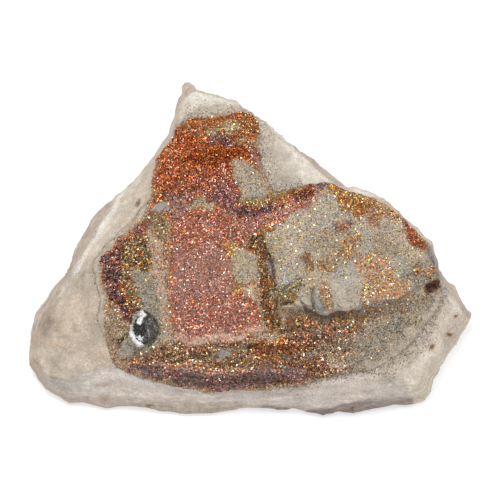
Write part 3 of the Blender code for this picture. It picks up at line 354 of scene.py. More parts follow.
        (34.8, -7.8), (35.6, -6.6), (38.2, -5.8), (38.4, -6.8), (36.8, -8.8), (35.6, -9),
        (34.8, -8.6)), 0.2),
    Zone("black pit shade", dict(shade=0.6), (
        (34.8, -8.6), (36, -9), (37.6, -8.2), (38.8, -6.8), (39.6, -7.6), (38, -9.6), (36, -10.6),
        (34.4, -10))),
)

# ---------------------------------------------------------------- colours of the rock

TAN = (0.50, 0.41, 0.32)
SAND = (0.535, 0.45, 0.36)
CREAM = (0.60, 0.515, 0.42)
PALE = (0.66, 0.595, 0.51)
CHALK = (0.71, 0.65, 0.565)
PEARL = (0.645, 0.57, 0.51)
ROSE = (0.555, 0.48, 0.42)
BLUSH = (0.60, 0.475, 0.39)
ASH = (0.50, 0.44, 0.385)
UMBER = (0.49, 0.405, 0.33)
DUST = (0.48, 0.415, 0.335)
DUSK = (0.44, 0.37, 0.29)
# SHADED is painted shade, for the underside facet.
SHADED = (0.295, 0.24, 0.21)
HONEY = (0.475, 0.375, 0.28)
MIST = (0.56, 0.49, 0.435)
STEEL = (0.42, 0.385, 0.345)
RUST = (0.42, 0.32, 0.24)
SMUDGE = (0.32, 0.26, 0.20)
SLATE = (0.27, 0.25, 0.225)
PIT = (0.13, 0.095, 0.07)
PIT_RIM = (0.50, 0.30, 0.16)
BROWN = (0.14, 0.09, 0.055)
ROCK_START = dict(tint=(0.53, 0.45, 0.37))
# Each area's name, tint, softness and outline.
ROCK_TINTS = (
    ("left facet", HONEY, 0.8, (
        (-46, -30), (-46, -10), (-36, 2), (-18, 18), (-14, 26), (-12, 26.4), (-20, 9), (-30, -1),
        (-30.4, -10), (-29.2, -19), (-26.4, -23.2), (-38, -26))),
    ("left mottle", TAN, 1.6, (
        (-37.6, -10), (-33.2, -8), (-30.4, -10), (-30, -16), (-28.8, -20.4), (-31.6, -22.4), (-36, -20.4),
        (-38.4, -16))),
    ("left middle dusk", DUSK, 1.4, (
        (-35.2, -4), (-30.4, -1.2), (-30.4, -7.2), (-33.2, -9.2), (-36, -8.4))),
    ("left warm band", CREAM, 0.7, (
        (-33.2, -3.6), (-26.4, 5.6), (-18.8, 14.8), (-16.4, 20), (-18, 20.8), (-22, 14.8), (-26, 10.4),
        (-34.8, -5.2))),
    ("left inner band", SAND, 0.6, (
        (-30.4, -0.8), (-20, 10.8), (-19.2, 16), (-17.2, 19.6), (-18.4, 20), (-24, 9.2), (-30.8, 0.4))),
    ("upper left light", CREAM, 0.4, (
        (-14.8, 30.4), (-13.2, 27.6), (-16, 22.8), (-22.4, 13.6), (-24.4, 12.8), (-20.4, 18), (-18, 22))),
    ("upper left inner", ASH, 0.5, (
        (-14.8, 26.4), (-12.8, 26.8), (-15.6, 23.2), (-16.8, 20.8), (-18, 19.6), (-17.2, 22))),
    ("left outer", UMBER, 0.25, (
        (-44.8, -16), (-42, -9.2), (-33.2, 7.2), (-26.8, 14), (-25.2, 12.8), (-36.6, -6.2), (-39, -9.8),
        (-42, -13.6), (-43.2, -18))),
    # Painted highlight: a pale strip along the crest of the left ridge, which RIDGES also raise.
    ("left ridge light", CHALK, 0.25, (
        (-25.2, 13.2), (-27.2, 9.2), (-38.6, -9.4), (-38, -10), (-28.2, 5.8), (-24.4, 12.4))),
    ("left ridge notch", DUSK, 0.8, (
        (-37.6, -5.6), (-36, -4), (-35.2, -5.2), (-36.8, -7.2))),
    ("left mid light", SAND, 0.7, (
        (-36.8, -7.2), (-35.2, -4.4), (-34.4, -6), (-36, -9.6), (-38.8, -12.4), (-39.6, -11.2))),
    ("lower left edge", SAND, 0.9, (
        (-44, -20), (-42.4, -24.4), (-40.8, -26), (-36.8, -26), (-29.2, -23.6), (-27.6, -22.4),
        (-31.6, -22), (-41.2, -18.8))),
    ("apex", CHALK, 0.5, (
        (-14.4, 27.6), (-13.6, 30), (-11.2, 32), (-3.6, 30.2), (-1.4, 28.8), (-4.8, 28), (-8.8, 28.8))),
    ("apex left", CREAM, 0.6, (
        (-14.8, 28.4), (-13.2, 30), (-11.6, 28), (-13.2, 26), (-15.2, 26.4))),
    ("apex line", SAND, 0.2, (
        (-11.6, 32.4), (-10.8, 31.6), (-3.6, 29.8), (-1.6, 29), (-1.2, 29.6), (-3.6, 30.8), (-10.4, 32.8))),
    ("apex end", UMBER, 0.2, (
        (-13.2, 34), (-11.2, 32.8), (-10.8, 31.8), (-13.2, 30.2), (-14.2, 29), (-15.6, 25.2), (-16.4, 25.2),
        (-15.2, 30))),
    ("apex edge", SAND, 0.3, (
        (-14.8, 28.8), (-15.6, 26), (-17.2, 22.8), (-20.8, 17.2), (-21.6, 17.6), (-17.2, 24.8),
        (-15.6, 28.8))),
    ("near crust top", DUST, 0.9, (
        (-14, 26.4), (-10.8, 28.4), (-6.8, 29.2), (0, 28.4), (-0.8, 27.6), (-10, 26.6), (-13.2, 24.8))),
    ("right shoulder", PALE, 0.5, (
        (0.4, 27.6), (2.4, 26.8), (6.8, 23.6), (16, 14.8), (19, 12.4), (16, 12.8), (10, 11.6), (5.2, 10),
        (2.4, 10.8), (1.6, 20))),
    ("shoulder dust", DUST, 1.8, (
        (1.6, 25.2), (4.4, 23.6), (6.8, 20.4), (10, 12.8), (8, 10.8), (5.2, 10.4), (3.2, 13.2), (2, 18))),
    ("shoulder near", CREAM, 0.6, (
        (0.6, 27.2), (2.4, 26.6), (4.8, 24.4), (3.6, 23.6), (2.4, 24.8), (1.2, 23.2))),
    ("shoulder stripe", PALE, 0.6, (
        (1.6, 18.8), (2.8, 18.4), (4.4, 12.8), (5.6, 10.8), (4.4, 11.2), (2.4, 15.6))),
    ("far rim", UMBER, 0.25, (
        (8.8, 21.2), (10.8, 20), (19.6, 12.4), (18.4, 11.8), (12.8, 16.6), (10.4, 19), (9, 20))),
    ("near wall", ROSE, 0.25, (
        (-43.2, -24.8), (-38.8, -26), (-36.4, -25.8), (-31.6, -24), (-28.8, -23.6), (-26, -23.6),
        (-20, -25.6), (-8, -28.4), (2, -28), (10, -26.8), (20, -24), (25.6, -23.2), (32.4, -29.2),
        (33.2, -32.4), (-2, -35.6), (-38, -33.2), (-44, -27.2))),
    ("near wall left", ASH, 1, (
        (-42, -25.6), (-36.8, -26), (-34, -25.2), (-33.2, -27.6), (-34.8, -30.4), (-38, -30),
        (-41.2, -27.2))),
    ("near wall grey", STEEL, 0.5, (
        (-34.8, -26.4), (-33.4, -26.4), (-33.2, -27.6), (-34.4, -28))),
    ("near wall top", PEARL, 0.5, (
        (-33.6, -25.2), (-28.8, -23.8), (-25.6, -24), (-14.8, -28), (-20, -27.6), (-26, -25.6),
        (-31.6, -26))),
    ("near wall light", PEARL, 0.6, (
        (-34, -26.8), (-24, -28.4), (-16, -29), (18, -30), (17.6, -30.8), (10, -30.8), (-24, -29.6),
        (-30.8, -28.8), (-33.6, -28))),
    ("near wall rose streak", BLUSH, 0.25, (
        (-30.4, -26.6), (-24.8, -28), (-24.4, -28.6), (-27.6, -28), (-30, -27.2))),
    ("near wall rose streak two", BLUSH, 0.2, (
        (-23.6, -28.4), (-8, -29.8), (-8.4, -30), (-14, -29.8), (-20.4, -29.2))),
    ("near wall tan streak", SAND, 0.3, (
        (-32.4, -28.2), (-28, -29.2), (-10, -30.4), (-10, -30.6), (-28.4, -29.8))),
    ("near wall pale right", MIST, 0.8, (
        (8, -28.4), (16, -27.2), (20, -25.2), (25.2, -24), (30.8, -28.4), (29.2, -29.6), (16, -31),
        (10, -30.6))),
    ("near wall bed", ASH, 0.4, (
        (3.6, -29.2), (16, -29.2), (22, -28.4), (26.8, -27.2), (27.2, -27.6), (22, -29), (16, -29.8))),
    ("near wall bed two", STEEL, 0.2, (
        (5.2, -28.8), (10, -29.2), (15.2, -29.4), (10, -29.4))),
    ("near wall tan right", BLUSH, 0.3, (
        (16, -30.4), (20.4, -29.2), (23.2, -28.8), (24.4, -29), (20.8, -29.8))),
    ("right corner line", STEEL, 0.25, (
        (25.6, -23.6), (27.2, -24.8), (31.8, -29.6), (28.6, -26.8))),
    ("lower rim", UMBER, 0.3, (
        (-38, -28.4), (-33.2, -29), (-29.2, -29.8), (-27.6, -30.4), (-23.6, -30.6), (-20, -30.4),
        (-15.6, -30.8), (-3.6, -30.6), (2.4, -31.2), (2.4, -35.6), (-10, -35.6), (-38, -34), (-42, -28))),
    ("lower rim blot", RUST, 0.4, (
        (-30, -29.2), (-28.4, -29.4), (-28, -30.2), (-29.6, -30.4))),
    # Painted shade: the underside facet along the near edge, much darker than the rock's own tint.
    ("under facet", SHADED, 0.2, (
        (2.4, -31), (11.2, -32), (16.8, -31.4), (20.8, -30.2), (28, -29.6), (30.8, -29.4), (32.4, -29.6),
        (33.4, -30.4), (32, -34), (18, -35.6), (2.4, -35))),
    ("under facet top", STEEL, 0.2, (
        (20.8, -30.2), (30.8, -29.4), (32.2, -29.6), (24.4, -30.4))),
    ("right slope", CREAM, 0.9, (
        (29.6, -28.4), (30.8, -23.2), (38, -10), (40, -9.2), (40.4, -12.4), (36, -22.4), (32.4, -29.2))),
    ("right slope dusk", DUST, 1.4, (
        (34.8, -10), (38, -10), (37.2, -13.6), (34.8, -16), (33.2, -16))),
    ("right slope warm", PALE, 1, (
        (30.8, -25.6), (32.8, -20.4), (37.2, -14.4), (39.2, -12.4), (38, -16), (34, -24.4), (32, -27.6))),
    ("right tip", CREAM, 0.5, (
        (38, -7.2), (43.6, -13.6), (41.2, -14.8), (39.6, -13.6), (38, -11.2))),
    ("right tip blue", STEEL, 0.5, (
        (38.4, -6.8), (40, -8.4), (39.6, -9.6), (38, -8.4))),
    # Painted highlight: a pale strip along the edge at the right tip.
    ("right tip light", PALE, 0.3, (
        (40, -9.6), (41.2, -10.4), (42.8, -12.4), (42.4, -13.2), (40.8, -11.6))),
    ("right upper bevel", UMBER, 0.2, (
        (38.6, -6.4), (40.4, -6), (41.6, -7.2), (43.6, -10.8), (44.8, -14), (43.6, -13.6), (42, -11.2),
        (40, -9))),
    ("right outer", CREAM, 0.3, (
        (45.2, -13.2), (43.6, -16), (42.4, -18.8), (38.8, -23.6), (37.2, -28.8), (35.2, -32.4),
        (32.4, -31.6), (32.6, -29.2), (37.4, -20.4), (40.6, -16), (43.6, -13.6))),
    ("right outer pale", CREAM, 0.5, (
        (42, -16), (41.2, -18.4), (37.2, -24.4), (37.2, -23.2), (38.8, -20), (40.8, -16.8))),
    ("slate strip", SLATE, 0.5, (
        (34.8, 1.8), (36, 1.4), (37.6, -2.4), (38.4, -6), (37.4, -6.2))),
    ("slate edge", DUSK, 0.3, (
        (36.4, 1.2), (37.2, 0.4), (38.8, -4.4), (40.4, -6.8), (39.2, -7.2), (38, -5.2), (36.8, -1.2))),
    ("far chip", PALE, 0.4, (
        (18.4, 12.4), (20.4, 12.8), (24.8, 11), (24.4, 10.2), (21.2, 10.8))),
    ("left smudge", SMUDGE, 1, (
        (-41.8, -12.8), (-40.2, -12.2), (-39.2, -14.4), (-39.6, -16.8), (-40.8, -17.4), (-41.8, -15.6))),
    ("low smudge", SMUDGE, 0.8, (
        (-40.6, -21.6), (-38.8, -21.4), (-38, -24.4), (-38.8, -26.4), (-40, -25.2), (-40.8, -23.2))),
    ("low smudge two", DUSK, 0.8, (
        (-40.4, -21.2), (-38.8, -21.2), (-37.6, -23.6), (-38, -26), (-40, -25.6), (-40.8, -23.2))),
    ("crack left", BROWN, 0.2, (
        (-23, 8.8), (-22.6, 8.6), (-21.8, 10.2), (-22, 10.4))),
    ("crack low", BROWN, 0.15, (
        (-21, -31.2), (-20.4, -31), (-19.4, -31), (-20.2, -31.4))),
    ("crack low right", BROWN, 0.15, (
        (20, -31.8), (20.6, -31.6), (20.8, -32), (20.2, -32.2))),
    ("by the right slope", SAND, 1, (
        (38, -11.2), (39.2, -10.8), (38.8, -14.4), (36, -19.2), (32, -23.2), (26.8, -26.4), (20.4, -28.4),
        (20, -26.8), (26, -24.8), (30.4, -22), (34.8, -17.6))),
)
ROCK_ZONES = [Zone(name, dict(tint=tint), area, soft) for name, tint, soft, area in ROCK_TINTS]

# ---------------------------------------------------------------- numbers in bulk


def smoothstep(value, low, high):
    """0 below low, 1 above high, and a smooth rise between them."""
    part = np.clip((value - low) / (high - low), 0.0, 1.0)
    return part * part * (3.0 - 2.0 * part)


# Large odd numbers, and shifts, that scramble the bits of a lattice point's place and of a seed.
HASH_STEPS = (73856093, 19349663, 83492791)
HASH_SEED_STEP = 2654435761
HASH_ROUNDS = ((15, 1274126177), (13, 668265263))
HASH_LAST_SHIFT = 16
HASH_BITS = 0xFFFFFFFF


def hashed(lattice, seed):
    """A fixed number from -1 to 1 for each whole-numbered lattice point."""
    mixed = (lattice @ np.array(HASH_STEPS) + seed * HASH_SEED_STEP) & HASH_BITS
    for shift, factor in HASH_ROUNDS:
        mixed = ((mixed ^ (mixed >> shift)) * factor) & HASH_BITS
    return (mixed ^ (mixed >> HASH_LAST_SHIFT)) / 2.0**31 - 1.0


def lattice_noise(points, cell, seed):
    """Smooth noise from -1 to 1, with bumps about one cell wide."""
    spot = points / cell
    base = np.floor(spot).astype(np.int64)
    part = spot - base
    part = part * part * (3.0 - 2.0 * part)
    total = np.zeros(len(points))
    for corner in product((0, 1), repeat=3):
        weight = np.prod(np.where(corner, part, 1.0 - part), axis=1)
        total += weight * hashed(base + corner, seed)
    return total


def noise_at(points, noise):
    """Noise at points in mm, each layer half as wide and half as strong as the one before."""
    total = np.zeros(len(points))
    for layer in range(noise.layers):
        total += lattice_noise(points, noise.cell / 2**layer, noise.seed + layer) / 2**layer
    return noise.swing * total


def cos_and_sin(degrees):
    return math.cos(math.radians(degrees)), math.sin(math.radians(degrees))


def on_sheet(points):
    """Where points in mm appear on the sheet: millimetres across and up."""
    across = points[:, 0] - SHEET_MIDDLE.x
    back = points[:, 1] - SHEET_MIDDLE.y
    up = back * math.sin(VIEW_ELEVATION) + points[:, 2] * math.cos(VIEW_ELEVATION)
    toward = points[:, 2] * math.sin(VIEW_ELEVATION) - back * math.cos(VIEW_ELEVATION)
    spread = CAMERA_DISTANCE / (CAMERA_DISTANCE - toward)
    return np.column_stack((across * spread, up * spread))


def depth_inside(spots, outline):
    """How far inside a closed outline each spot lies, in mm; outside it is negative."""
    corners = np.array(outline, float)
    nearest = np.full(len(spots), np.inf)
    inside = np.zeros(len(spots), bool)
    for start, end in zip(corners, np.roll(corners, -1, axis=0)):
        along = end - start
        reach = spots - start
        part = np.clip(reach @ along / (along @ along), 0.0, 1.0)
        nearest = np.minimum(nearest, np.hypot(*(reach - part[:, None] * along).T))
        if along[1]:
            crosses = (start[1] > spots[:, 1]) != (end[1] > spots[:, 1])
            inside ^= crosses & (reach[:, 0] < along[0] * reach[:, 1] / along[1])
    return np.where(inside, nearest, -nearest)


# How far borders stray across and up, for a softness of 1 mm.
BORDER_DRIFTS = (Noise(1.0, 2.0, 31, 4), Noise(1.0, 2.0, 37, 4))


def painted(points, start, zones, ragged=1.0):
    """Field values at points, in mm. Each zone lies over the ones before it.

    A zone's border strays from its outline by about its softness, times ragged.
    """
    spots = on_sheet(points)
    drift = ragged * np.column_stack([noise_at(points, noise) for noise in BORDER_DRIFTS])
    fields = {name: np.tile(np.atleast_1d(value), (len(points), 1)) for name, value in start.items()}
    for zone in zones:
        depth = depth_inside(spots + drift * zone.softness, zone.outline)
        cover = smoothstep(depth, -zone.softness, zone.softness)[:, None]
        for name, value in zone.values.items():
            fields[name] += (np.atleast_1d(value) - fields[name]) * cover
    for name, values in fields.items():
        if values.shape[1] == 1:
            fields[name] = values[:, 0]
    return fields


# ---------------------------------------------------------------- meshes


def places_of(mesh):
    """The vertices' places, in mm."""
    found = np.empty(len(mesh.vertices) * 3, np.float32)
    mesh.vertices.foreach_get("co", found)
    return found.reshape(-1, 3).astype(float) / MM


def normals_of(mesh):
    found = np.empty(len(mesh.vertices) * 3, np.float32)
    mesh.vertex_normals.foreach_get("vector", found)
    return found.reshape(-1, 3).astype(float)


def set_places(mesh, places):
    mesh.vertices.foreach_set("co", (places * MM).astype(np.float32).ravel())
    mesh.update()


def set_field(mesh, name, values):
    """Keeps a number, or a colour, with every vertex for the shader nodes."""
    if values.ndim == 1:
        mesh.attributes.new(name, "FLOAT", "POINT").data.foreach_set("value", values)
        return
    colours = np.column_stack((values, np.ones(len(values))))
    mesh.attributes.new(name, "FLOAT_COLOR", "POINT").data.foreach_set("color", colours.ravel())


def set_fields(mesh, fields):
    for name, values in fields.items():
        set_field(mesh, name, values)


def new_piece(name, mesh, material):
    piece = bpy.data.objects.new(name, mesh)
    bpy.context.scene.collection.objects.link(piece)
    mesh.materials.clear()
    mesh.materials.append(material)
    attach(piece, BODY)
    return piece


def remeshed(node, voxel):
    """A fine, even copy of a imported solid's mesh."""
    rough = bpy.data.objects.new(node + "_copy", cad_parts[node].data.copy())
    bpy.context.scene.collection.objects.link(rough)
    remesh = rough.modifiers.new("voxels", "REMESH")
    remesh.mode = "VOXEL"
    remesh.voxel_size = voxel * MM
    smooth = rough.modifiers.new("smooth", "SMOOTH")
    smooth.iterations = SMOOTH_STEPS
    graph = bpy.context.evaluated_depsgraph_get()
    mesh = bpy.data.meshes.new_from_object(rough.evaluated_get(graph))
    bpy.data.objects.remove(rough)
    mesh.shade_smooth()
    return mesh


def tree_of(mesh):
    """A search tree over a mesh, in metres."""
    mesh.calc_loop_triangles()
    corners = [vertex.co for vertex in mesh.vertices]
    return BVHTree.FromPolygons(corners, [tuple(part.vertices) for part in mesh.loop_triangles])


def distance_to(tree, points, most):
    """How far points in mm are from a mesh's surface; most where they are further."""
    found = np.full(len(points), most)
    for number, point in enumerate(points):
        near = tree.find_nearest(Vector(point * MM), most * MM)
        if near[3] is not None:
            found[number] = near[3] / MM
    return found


def triangles_of(mesh):
    """The corners of the mesh's triangles, in mm."""
    mesh.calc_loop_triangles()
    corners = np.empty(len(mesh.loop_triangles) * 3, np.int32)
    mesh.loop_triangles.foreach_get("vertices", corners)
    return places_of(mesh)[corners.reshape(-1, 3)]


# Over this share of the way from its edge to its middle, a form rises to its full height.
FORM_FLANK = 0.9
# The forms on the open top hold where the normal is more upright than this.
OPEN_TOP = 0.1


def rise_of(forms, points):
    """How far the small forms lift the surface at each point, in mm."""
    spots = on_sheet(points)
    rise = np.zeros(len(points))
    for form in forms:
        reach = spots - (form.across, form.up)
        cos, sin = cos_and_sin(form.turn)
        along = (reach[:, 0] * cos + reach[:, 1] * sin) / form.half_length
        aside = (reach[:, 1] * cos - reach[:, 0] * sin) / form.half_width
        rise += form.rise * smoothstep(1.0 - np.hypot(along, aside), 0.0, FORM_FLANK)
    return rise


# ---------------------------------------------------------------- the mudstone

PITS = (
    Form(-22.6, 9.4, 0.9, 0.17, 58.0, -0.5),
    Form(36.3, -19.3, 0.75, 0.5, 60.0, -0.7),
    Form(39.8, -16.9, 0.75, 0.5, -10.0, -0.6),
    Form(41.0, -13.2, 0.5, 0.35, 40.0, -0.35),
    Form(-20.4, -31.3, 0.7, 0.2, 10.0, -0.4),
    Form(20.4, -31.9, 0.4, 0.3, 0.0, -0.4),
)
HOLLOWS = (
    Form(-39.4, -14.6, 1.2, 0.8, 80.0, -0.35),
    Form(-39.2, -23.4, 1.3, 0.8, -60.0, -0.4),
)
# Sharp ridges between the mudstone's facets: left of the crust, and at the right end.
RIDGES = (
    Form(-31.8, 2.0, 18.0, 0.6, 59.3, 0.32),
    Form(35.9, -23.2, 9.0, 0.6, 59.6, 0.32),
    Form(41.6, -15.4, 4.0, 0.5, 43.7, 0.25),
)

# The walls stand out by their gain, and by more or less where these forms lie: at the far apex,
# along the near side and at the left end.
WALL_GAIN = 0.12
WALL_FORMS = (
    Form(-12.6, 32.6, 2.6, 1.8, 0.0, 0.8),
    Form(-2.0, -37.0, 90.0, 24.0, 0.0, -0.55),
    Form(-46.0, -22.0, 12.0, 9.0, 80.0, -0.4),
)
# From fully a wall to fully a top or an underside, by how upright the normal is.
WALL_FACING = (0.35, 0.85)

ROCK_SWELL = Noise(0.16, 5.5, 11, 3)
ROCK_GRAIN = Noise(0.045, 0.9, 17, 2)
ROCK_BREAKS = Noise(0.35, 4.0, 29, 3)

# Beds: each one stands out slowly, then steps back at its edge.
BED_THICKNESS = 1.3
BED_STEP = 0.16
BED_FLANK = (0.1, 0.75)
BED_EDGE = (0.85, 1.0)
BED_WAVES = Noise(0.8, 1.0, 23, 2)
BED_STRETCH = (0.12, 0.12, 0.3)

# The surface's moves fade in between these heights, so that the underside stays flat.
FLOOR_FADE = (0.15, 1.2)


def bedded(points):
    """How far the beds stand out at each point, in mm."""
    level = points[:, 2] / BED_THICKNESS + noise_at(points * BED_STRETCH, BED_WAVES)
    return BED_STEP * (smoothstep(level % 1.0, *BED_FLANK) - smoothstep(level % 1.0, *BED_EDGE) - 0.5)


def weathered(points, normals):
    """The rock's points moved to the worn, bedded surface that broken mudstone has."""
    facing_up = normals[:, 2]
    wall = 1.0 - smoothstep(np.abs(facing_up), *WALL_FACING)
    broken = np.abs(noise_at(points, ROCK_BREAKS))
    gain = WALL_GAIN + rise_of(WALL_FORMS, points)
    rise = noise_at(points, ROCK_SWELL) + noise_at(points, ROCK_GRAIN)
    rise += wall * (bedded(points) - broken + gain)
    rise += rise_of(PITS + HOLLOWS + RIDGES, points) * (facing_up > OPEN_TOP)
    rise *= smoothstep(points[:, 2], *FLOOR_FADE)
    moved = points + normals * rise[:, None]
    moved[:, 2] = np.maximum(moved[:, 2], 0.0)
    return moved


def make_rock():
    """The mudstone chip, with its bedding, broken edges and small pits."""
    mesh = remeshed("matrix_rock", ROCK_VOXEL)
    set_places(mesh, weathered(places_of(mesh), normals_of(mesh)))
    set_fields(mesh, painted(places_of(mesh), ROCK_START, ROCK_ZONES))
    piece = new_piece("mudstone_surface", mesh, mudstone_look())
    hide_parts("matrix_rock")
    return piece


# ---------------------------------------------------------------- the crust

CRUST_FORMS = (
    # the ground under the nodule and the lip
    Form(14.5, -9.3, 2.9, 1.9, 78.0, 0.1),
    Form(18.7, -9.2, 2.6, 1.4, 68.0, 0.15),
    Form(12.6, -10.8, 1.6, 0.35, 80.0, -0.6),
    Form(10.4, -9.0, 2.4, 0.7, -20.0, 0.3),
    Form(12.8, -11.9, 0.5, 0.35, 80.0, -0.6),
    # creases and swells of the right block
    Form(22.6, -0.4, 3.2, 0.7, 55.0, -0.35),
    Form(26.0, 2.0, 4.0, 1.2, -40.0, -0.3),
    Form(31.4, -0.6, 5.0, 0.8, -55.0, 0.35),
    Form(18.0, -1.0, 5.0, 1.0, 40.0, -0.35),
    Form(12.0, 3.0, 5.0, 1.5, 35.0, 0.3),
    Form(28.0, -4.0, 4.0, 0.9, 20.0, 0.3),
    Form(31.6, -5.2, 3.4, 0.6, 15.0, -0.4),
    # sill, terraces and rows of the lower crust
    Form(0.6, -18.4, 6.4, 0.8, 16.0, 0.5),
    Form(17.2, -16.6, 3.8, 0.7, 8.0, 0.45),
    Form(12.4, -18.0, 4.8, 0.35, 20.0, 0.35),
    Form(8.0, -20.2, 6.0, 0.35, 14.0, 0.35),
    Form(14.0, -21.4, 6.0, 0.3, 8.0, -0.3),
    Form(-18.0, -23.0, 6.5, 0.4, -3.0, 0.4),
    Form(-7.6, -24.0, 5.0, 0.4, -7.0, 0.35),
    Form(-7.2, -17.4, 9.8, 0.6, 2.0, 0.3),
    Form(-9.0, -25.6, 10.0, 0.4, -4.0, -0.3),
    Form(-4.0, -26.4, 8.0, 0.3, -3.0, 0.25),
    # the left lobe
    Form(-25.6, -8.4, 7.0, 0.8, -75.0, 0.3),
    Form(-25.2, -17.6, 1.9, 0.35, 50.0, -0.7),
    # the black pit, and the ridge where the arm begins
    Form(36.6, -7.6, 1.7, 0.9, 25.0, -0.7),
    Form(2.0, 2.0, 4.0, 0.6, -50.0, 0.3),
    # the right border, which sinks into the rock
    Form(37.6, -12.0, 3.6, 1.5, 72.0, -0.3),
    Form(34.4, -17.6, 4.6, 1.5, 48.0, -0.3),
    Form(28.0, -22.6, 4.6, 1.4, 26.0, -0.3),
)
# Where the crust breaks into rubble: the saddle beside the nodule.
RUBBLE = (Form(19.6, -8.6, 4.6, 3.0, -8.0, 0.45),)
RUBBLE_LUMPS = Noise(1.0, 1.1, 83, 3)

RIPPLES = Noise(0.12, 1.6, 41, 3)
RIPPLE_STRETCH = (0.5, 1.0, 1.0)
CRYSTAL_HEADS = Noise(0.07, 0.55, 47, 1)

# The crust's rim, by how upright the normal is, from fully rim to fully top. It grows outwards by
# the closing wherever the rock is within reach.
RIM_FACING = (0.7, 0.97)
GAP_REACH = 0.7
GAP_CLOSING = 0.62

# How much more the colours of the crust and its crystals stray from their outlines than others.
CRUST_RAGGED = 2.0


def crusted(points, normals, rock_tree):
    """The crust's points moved to a surface of small ridges and crystal heads.

    Its rim grows on to the rock, across the narrow gap between the two solids.
    """
    facing_up = normals[:, 2]
    open_top = facing_up > OPEN_TOP
    ripples = noise_at(points * RIPPLE_STRETCH, RIPPLES)
    heads = np.abs(noise_at(points, CRYSTAL_HEADS))
    forms = rise_of(CRUST_FORMS, points) * open_top
    forms += rise_of(RUBBLE, points) * open_top * noise_at(points, RUBBLE_LUMPS)
    outward = normals * (ripples + heads + forms)[:, None]
    rim = 1.0 - smoothstep(np.abs(facing_up), *RIM_FACING)
    closing = GAP_CLOSING * rim * (distance_to(rock_tree, points, GAP_REACH) < GAP_REACH)
    return points + outward + normals * (1, 1, 0) * closing[:, None]


def make_crust(rock_tree):
    """The body of the crust, which shows between the crystals that stand on it."""
    mesh = remeshed("pyrite_crust", CRUST_VOXEL)
    set_places(mesh, crusted(places_of(mesh), normals_of(mesh), rock_tree))
    set_fields(mesh, painted(places_of(mesh), CRUST_START, CRUST_ZONES, CRUST_RAGGED))
    piece = new_piece("druse_surface", mesh, druse_look())
    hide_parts("pyrite_crust")
    return piece


# ---------------------------------------------------------------- chunks on the ledge

# Broken clay too sharp for the crust's own mesh. A chunk is an ellipsoid drawn on the sheet: its
# middle, its half sizes across, up and towards the viewer, its turn in degrees, how far its middle
# stands out, and the flat faces that cut it. A face is its direction and its distance from the
# middle. All in mm.
Chunk = namedtuple("Chunk", "across up half_sizes turn stand faces")
CHUNKS = (
    # the nodule: a slab, a rougher one on its right, and a knob at its top
    Chunk(13.9, -10.3, (0.95, 2.7, 1.1), 22.0, -0.1, (
        ((-0.45, 0.1, 0.89), 0.65), ((0.5, 0.2, 0.84), 0.6), ((0.1, -0.9, 0.45), 2.0))),
    Chunk(15.3, -9.4, (1.3, 2.9, 1.4), 17.0, -0.2, (
        ((0.35, 0.25, 0.9), 0.7), ((-0.8, 0.1, 0.6), 0.75), ((0.0, -0.9, 0.45), 2.1))),
    Chunk(14.0, -7.5, (0.6, 0.75, 0.7), 30.0, 0.1, (
        ((-0.4, 0.5, 0.77), 0.4), ((0.7, 0.2, 0.68), 0.35))),
    # the edge of the saddle
    Chunk(18.9, -10.9, (2.5, 1.1, 0.9), -2.0, 0.2, (
        ((0.0, 0.35, 0.94), 0.5), ((0.1, -0.95, 0.3), 0.8), ((-0.7, -0.5, 0.5), 1.3))),
    Chunk(21.1, -10.2, (0.9, 1.3, 0.9), -12.0, 0.25, (
        ((0.35, 0.2, 0.91), 0.5), ((0.3, -0.9, 0.3), 0.9))),
    # the thin lip, and the tilted flake at its end
    Chunk(8.7, -11.0, (2.5, 0.6, 0.8), 10.0, 0.2, (
        ((0.0, 0.5, 0.87), 0.4), ((0.0, -0.95, 0.3), 0.4))),
    Chunk(11.3, -10.4, (1.5, 0.9, 0.9), -36.0, 0.25, (
        ((-0.3, 0.45, 0.84), 0.5), ((0.2, -0.9, 0.35), 0.6))),
)
CHUNK_DIVISIONS = 5
# How a chunk's surface swells and cracks, as shares of its size.
CHUNK_SWELL = Noise(0.2, 0.9, 71, 4)
CHUNK_CREVICES = Noise(0.3, 0.8, 79, 3)


def seen_place(tree, across, up):
    """The place of a mesh, in mm, that is seen at a point of the sheet."""
    eye = SHEET_MIDDLE + TOWARD_VIEWER * CAMERA_DISTANCE
    spot = SHEET_MIDDLE + SHEET_ACROSS * across + SHEET_UP * up
    return tree.ray_cast(eye * MM, spot - eye)[0] / MM


def chunk_points(chunk, sphere, crust_tree):
    """The points of a unit sphere moved to a chunk's surface, in mm."""
    points = sphere * chunk.half_sizes
    for direction, distance in chunk.faces:
        facing = np.array(Vector(direction).normalized())
        points -= facing * np.maximum(points @ facing - distance, 0.0)[:, None]
    swell = noise_at(points + chunk.across, CHUNK_SWELL)
    crevices = np.abs(noise_at(points + chunk.across, CHUNK_CREVICES))
    points *= 1.0 + (swell - crevices)[:, None]
    cos, sin = cos_and_sin(chunk.turn)
    across = points[:, 0] * cos - points[:, 1] * sin
    up = points[:, 0] * sin + points[:, 1] * cos
    toward = points[:, 2:] + chunk.stand
    middle = np.array(seen_place(crust_tree, chunk.across, chunk.up))
    flat_axes = np.array((SHEET_ACROSS, SHEET_UP))
    return middle + np.column_stack((across, up)) @ flat_axes + toward * np.array(TOWARD_VIEWER)


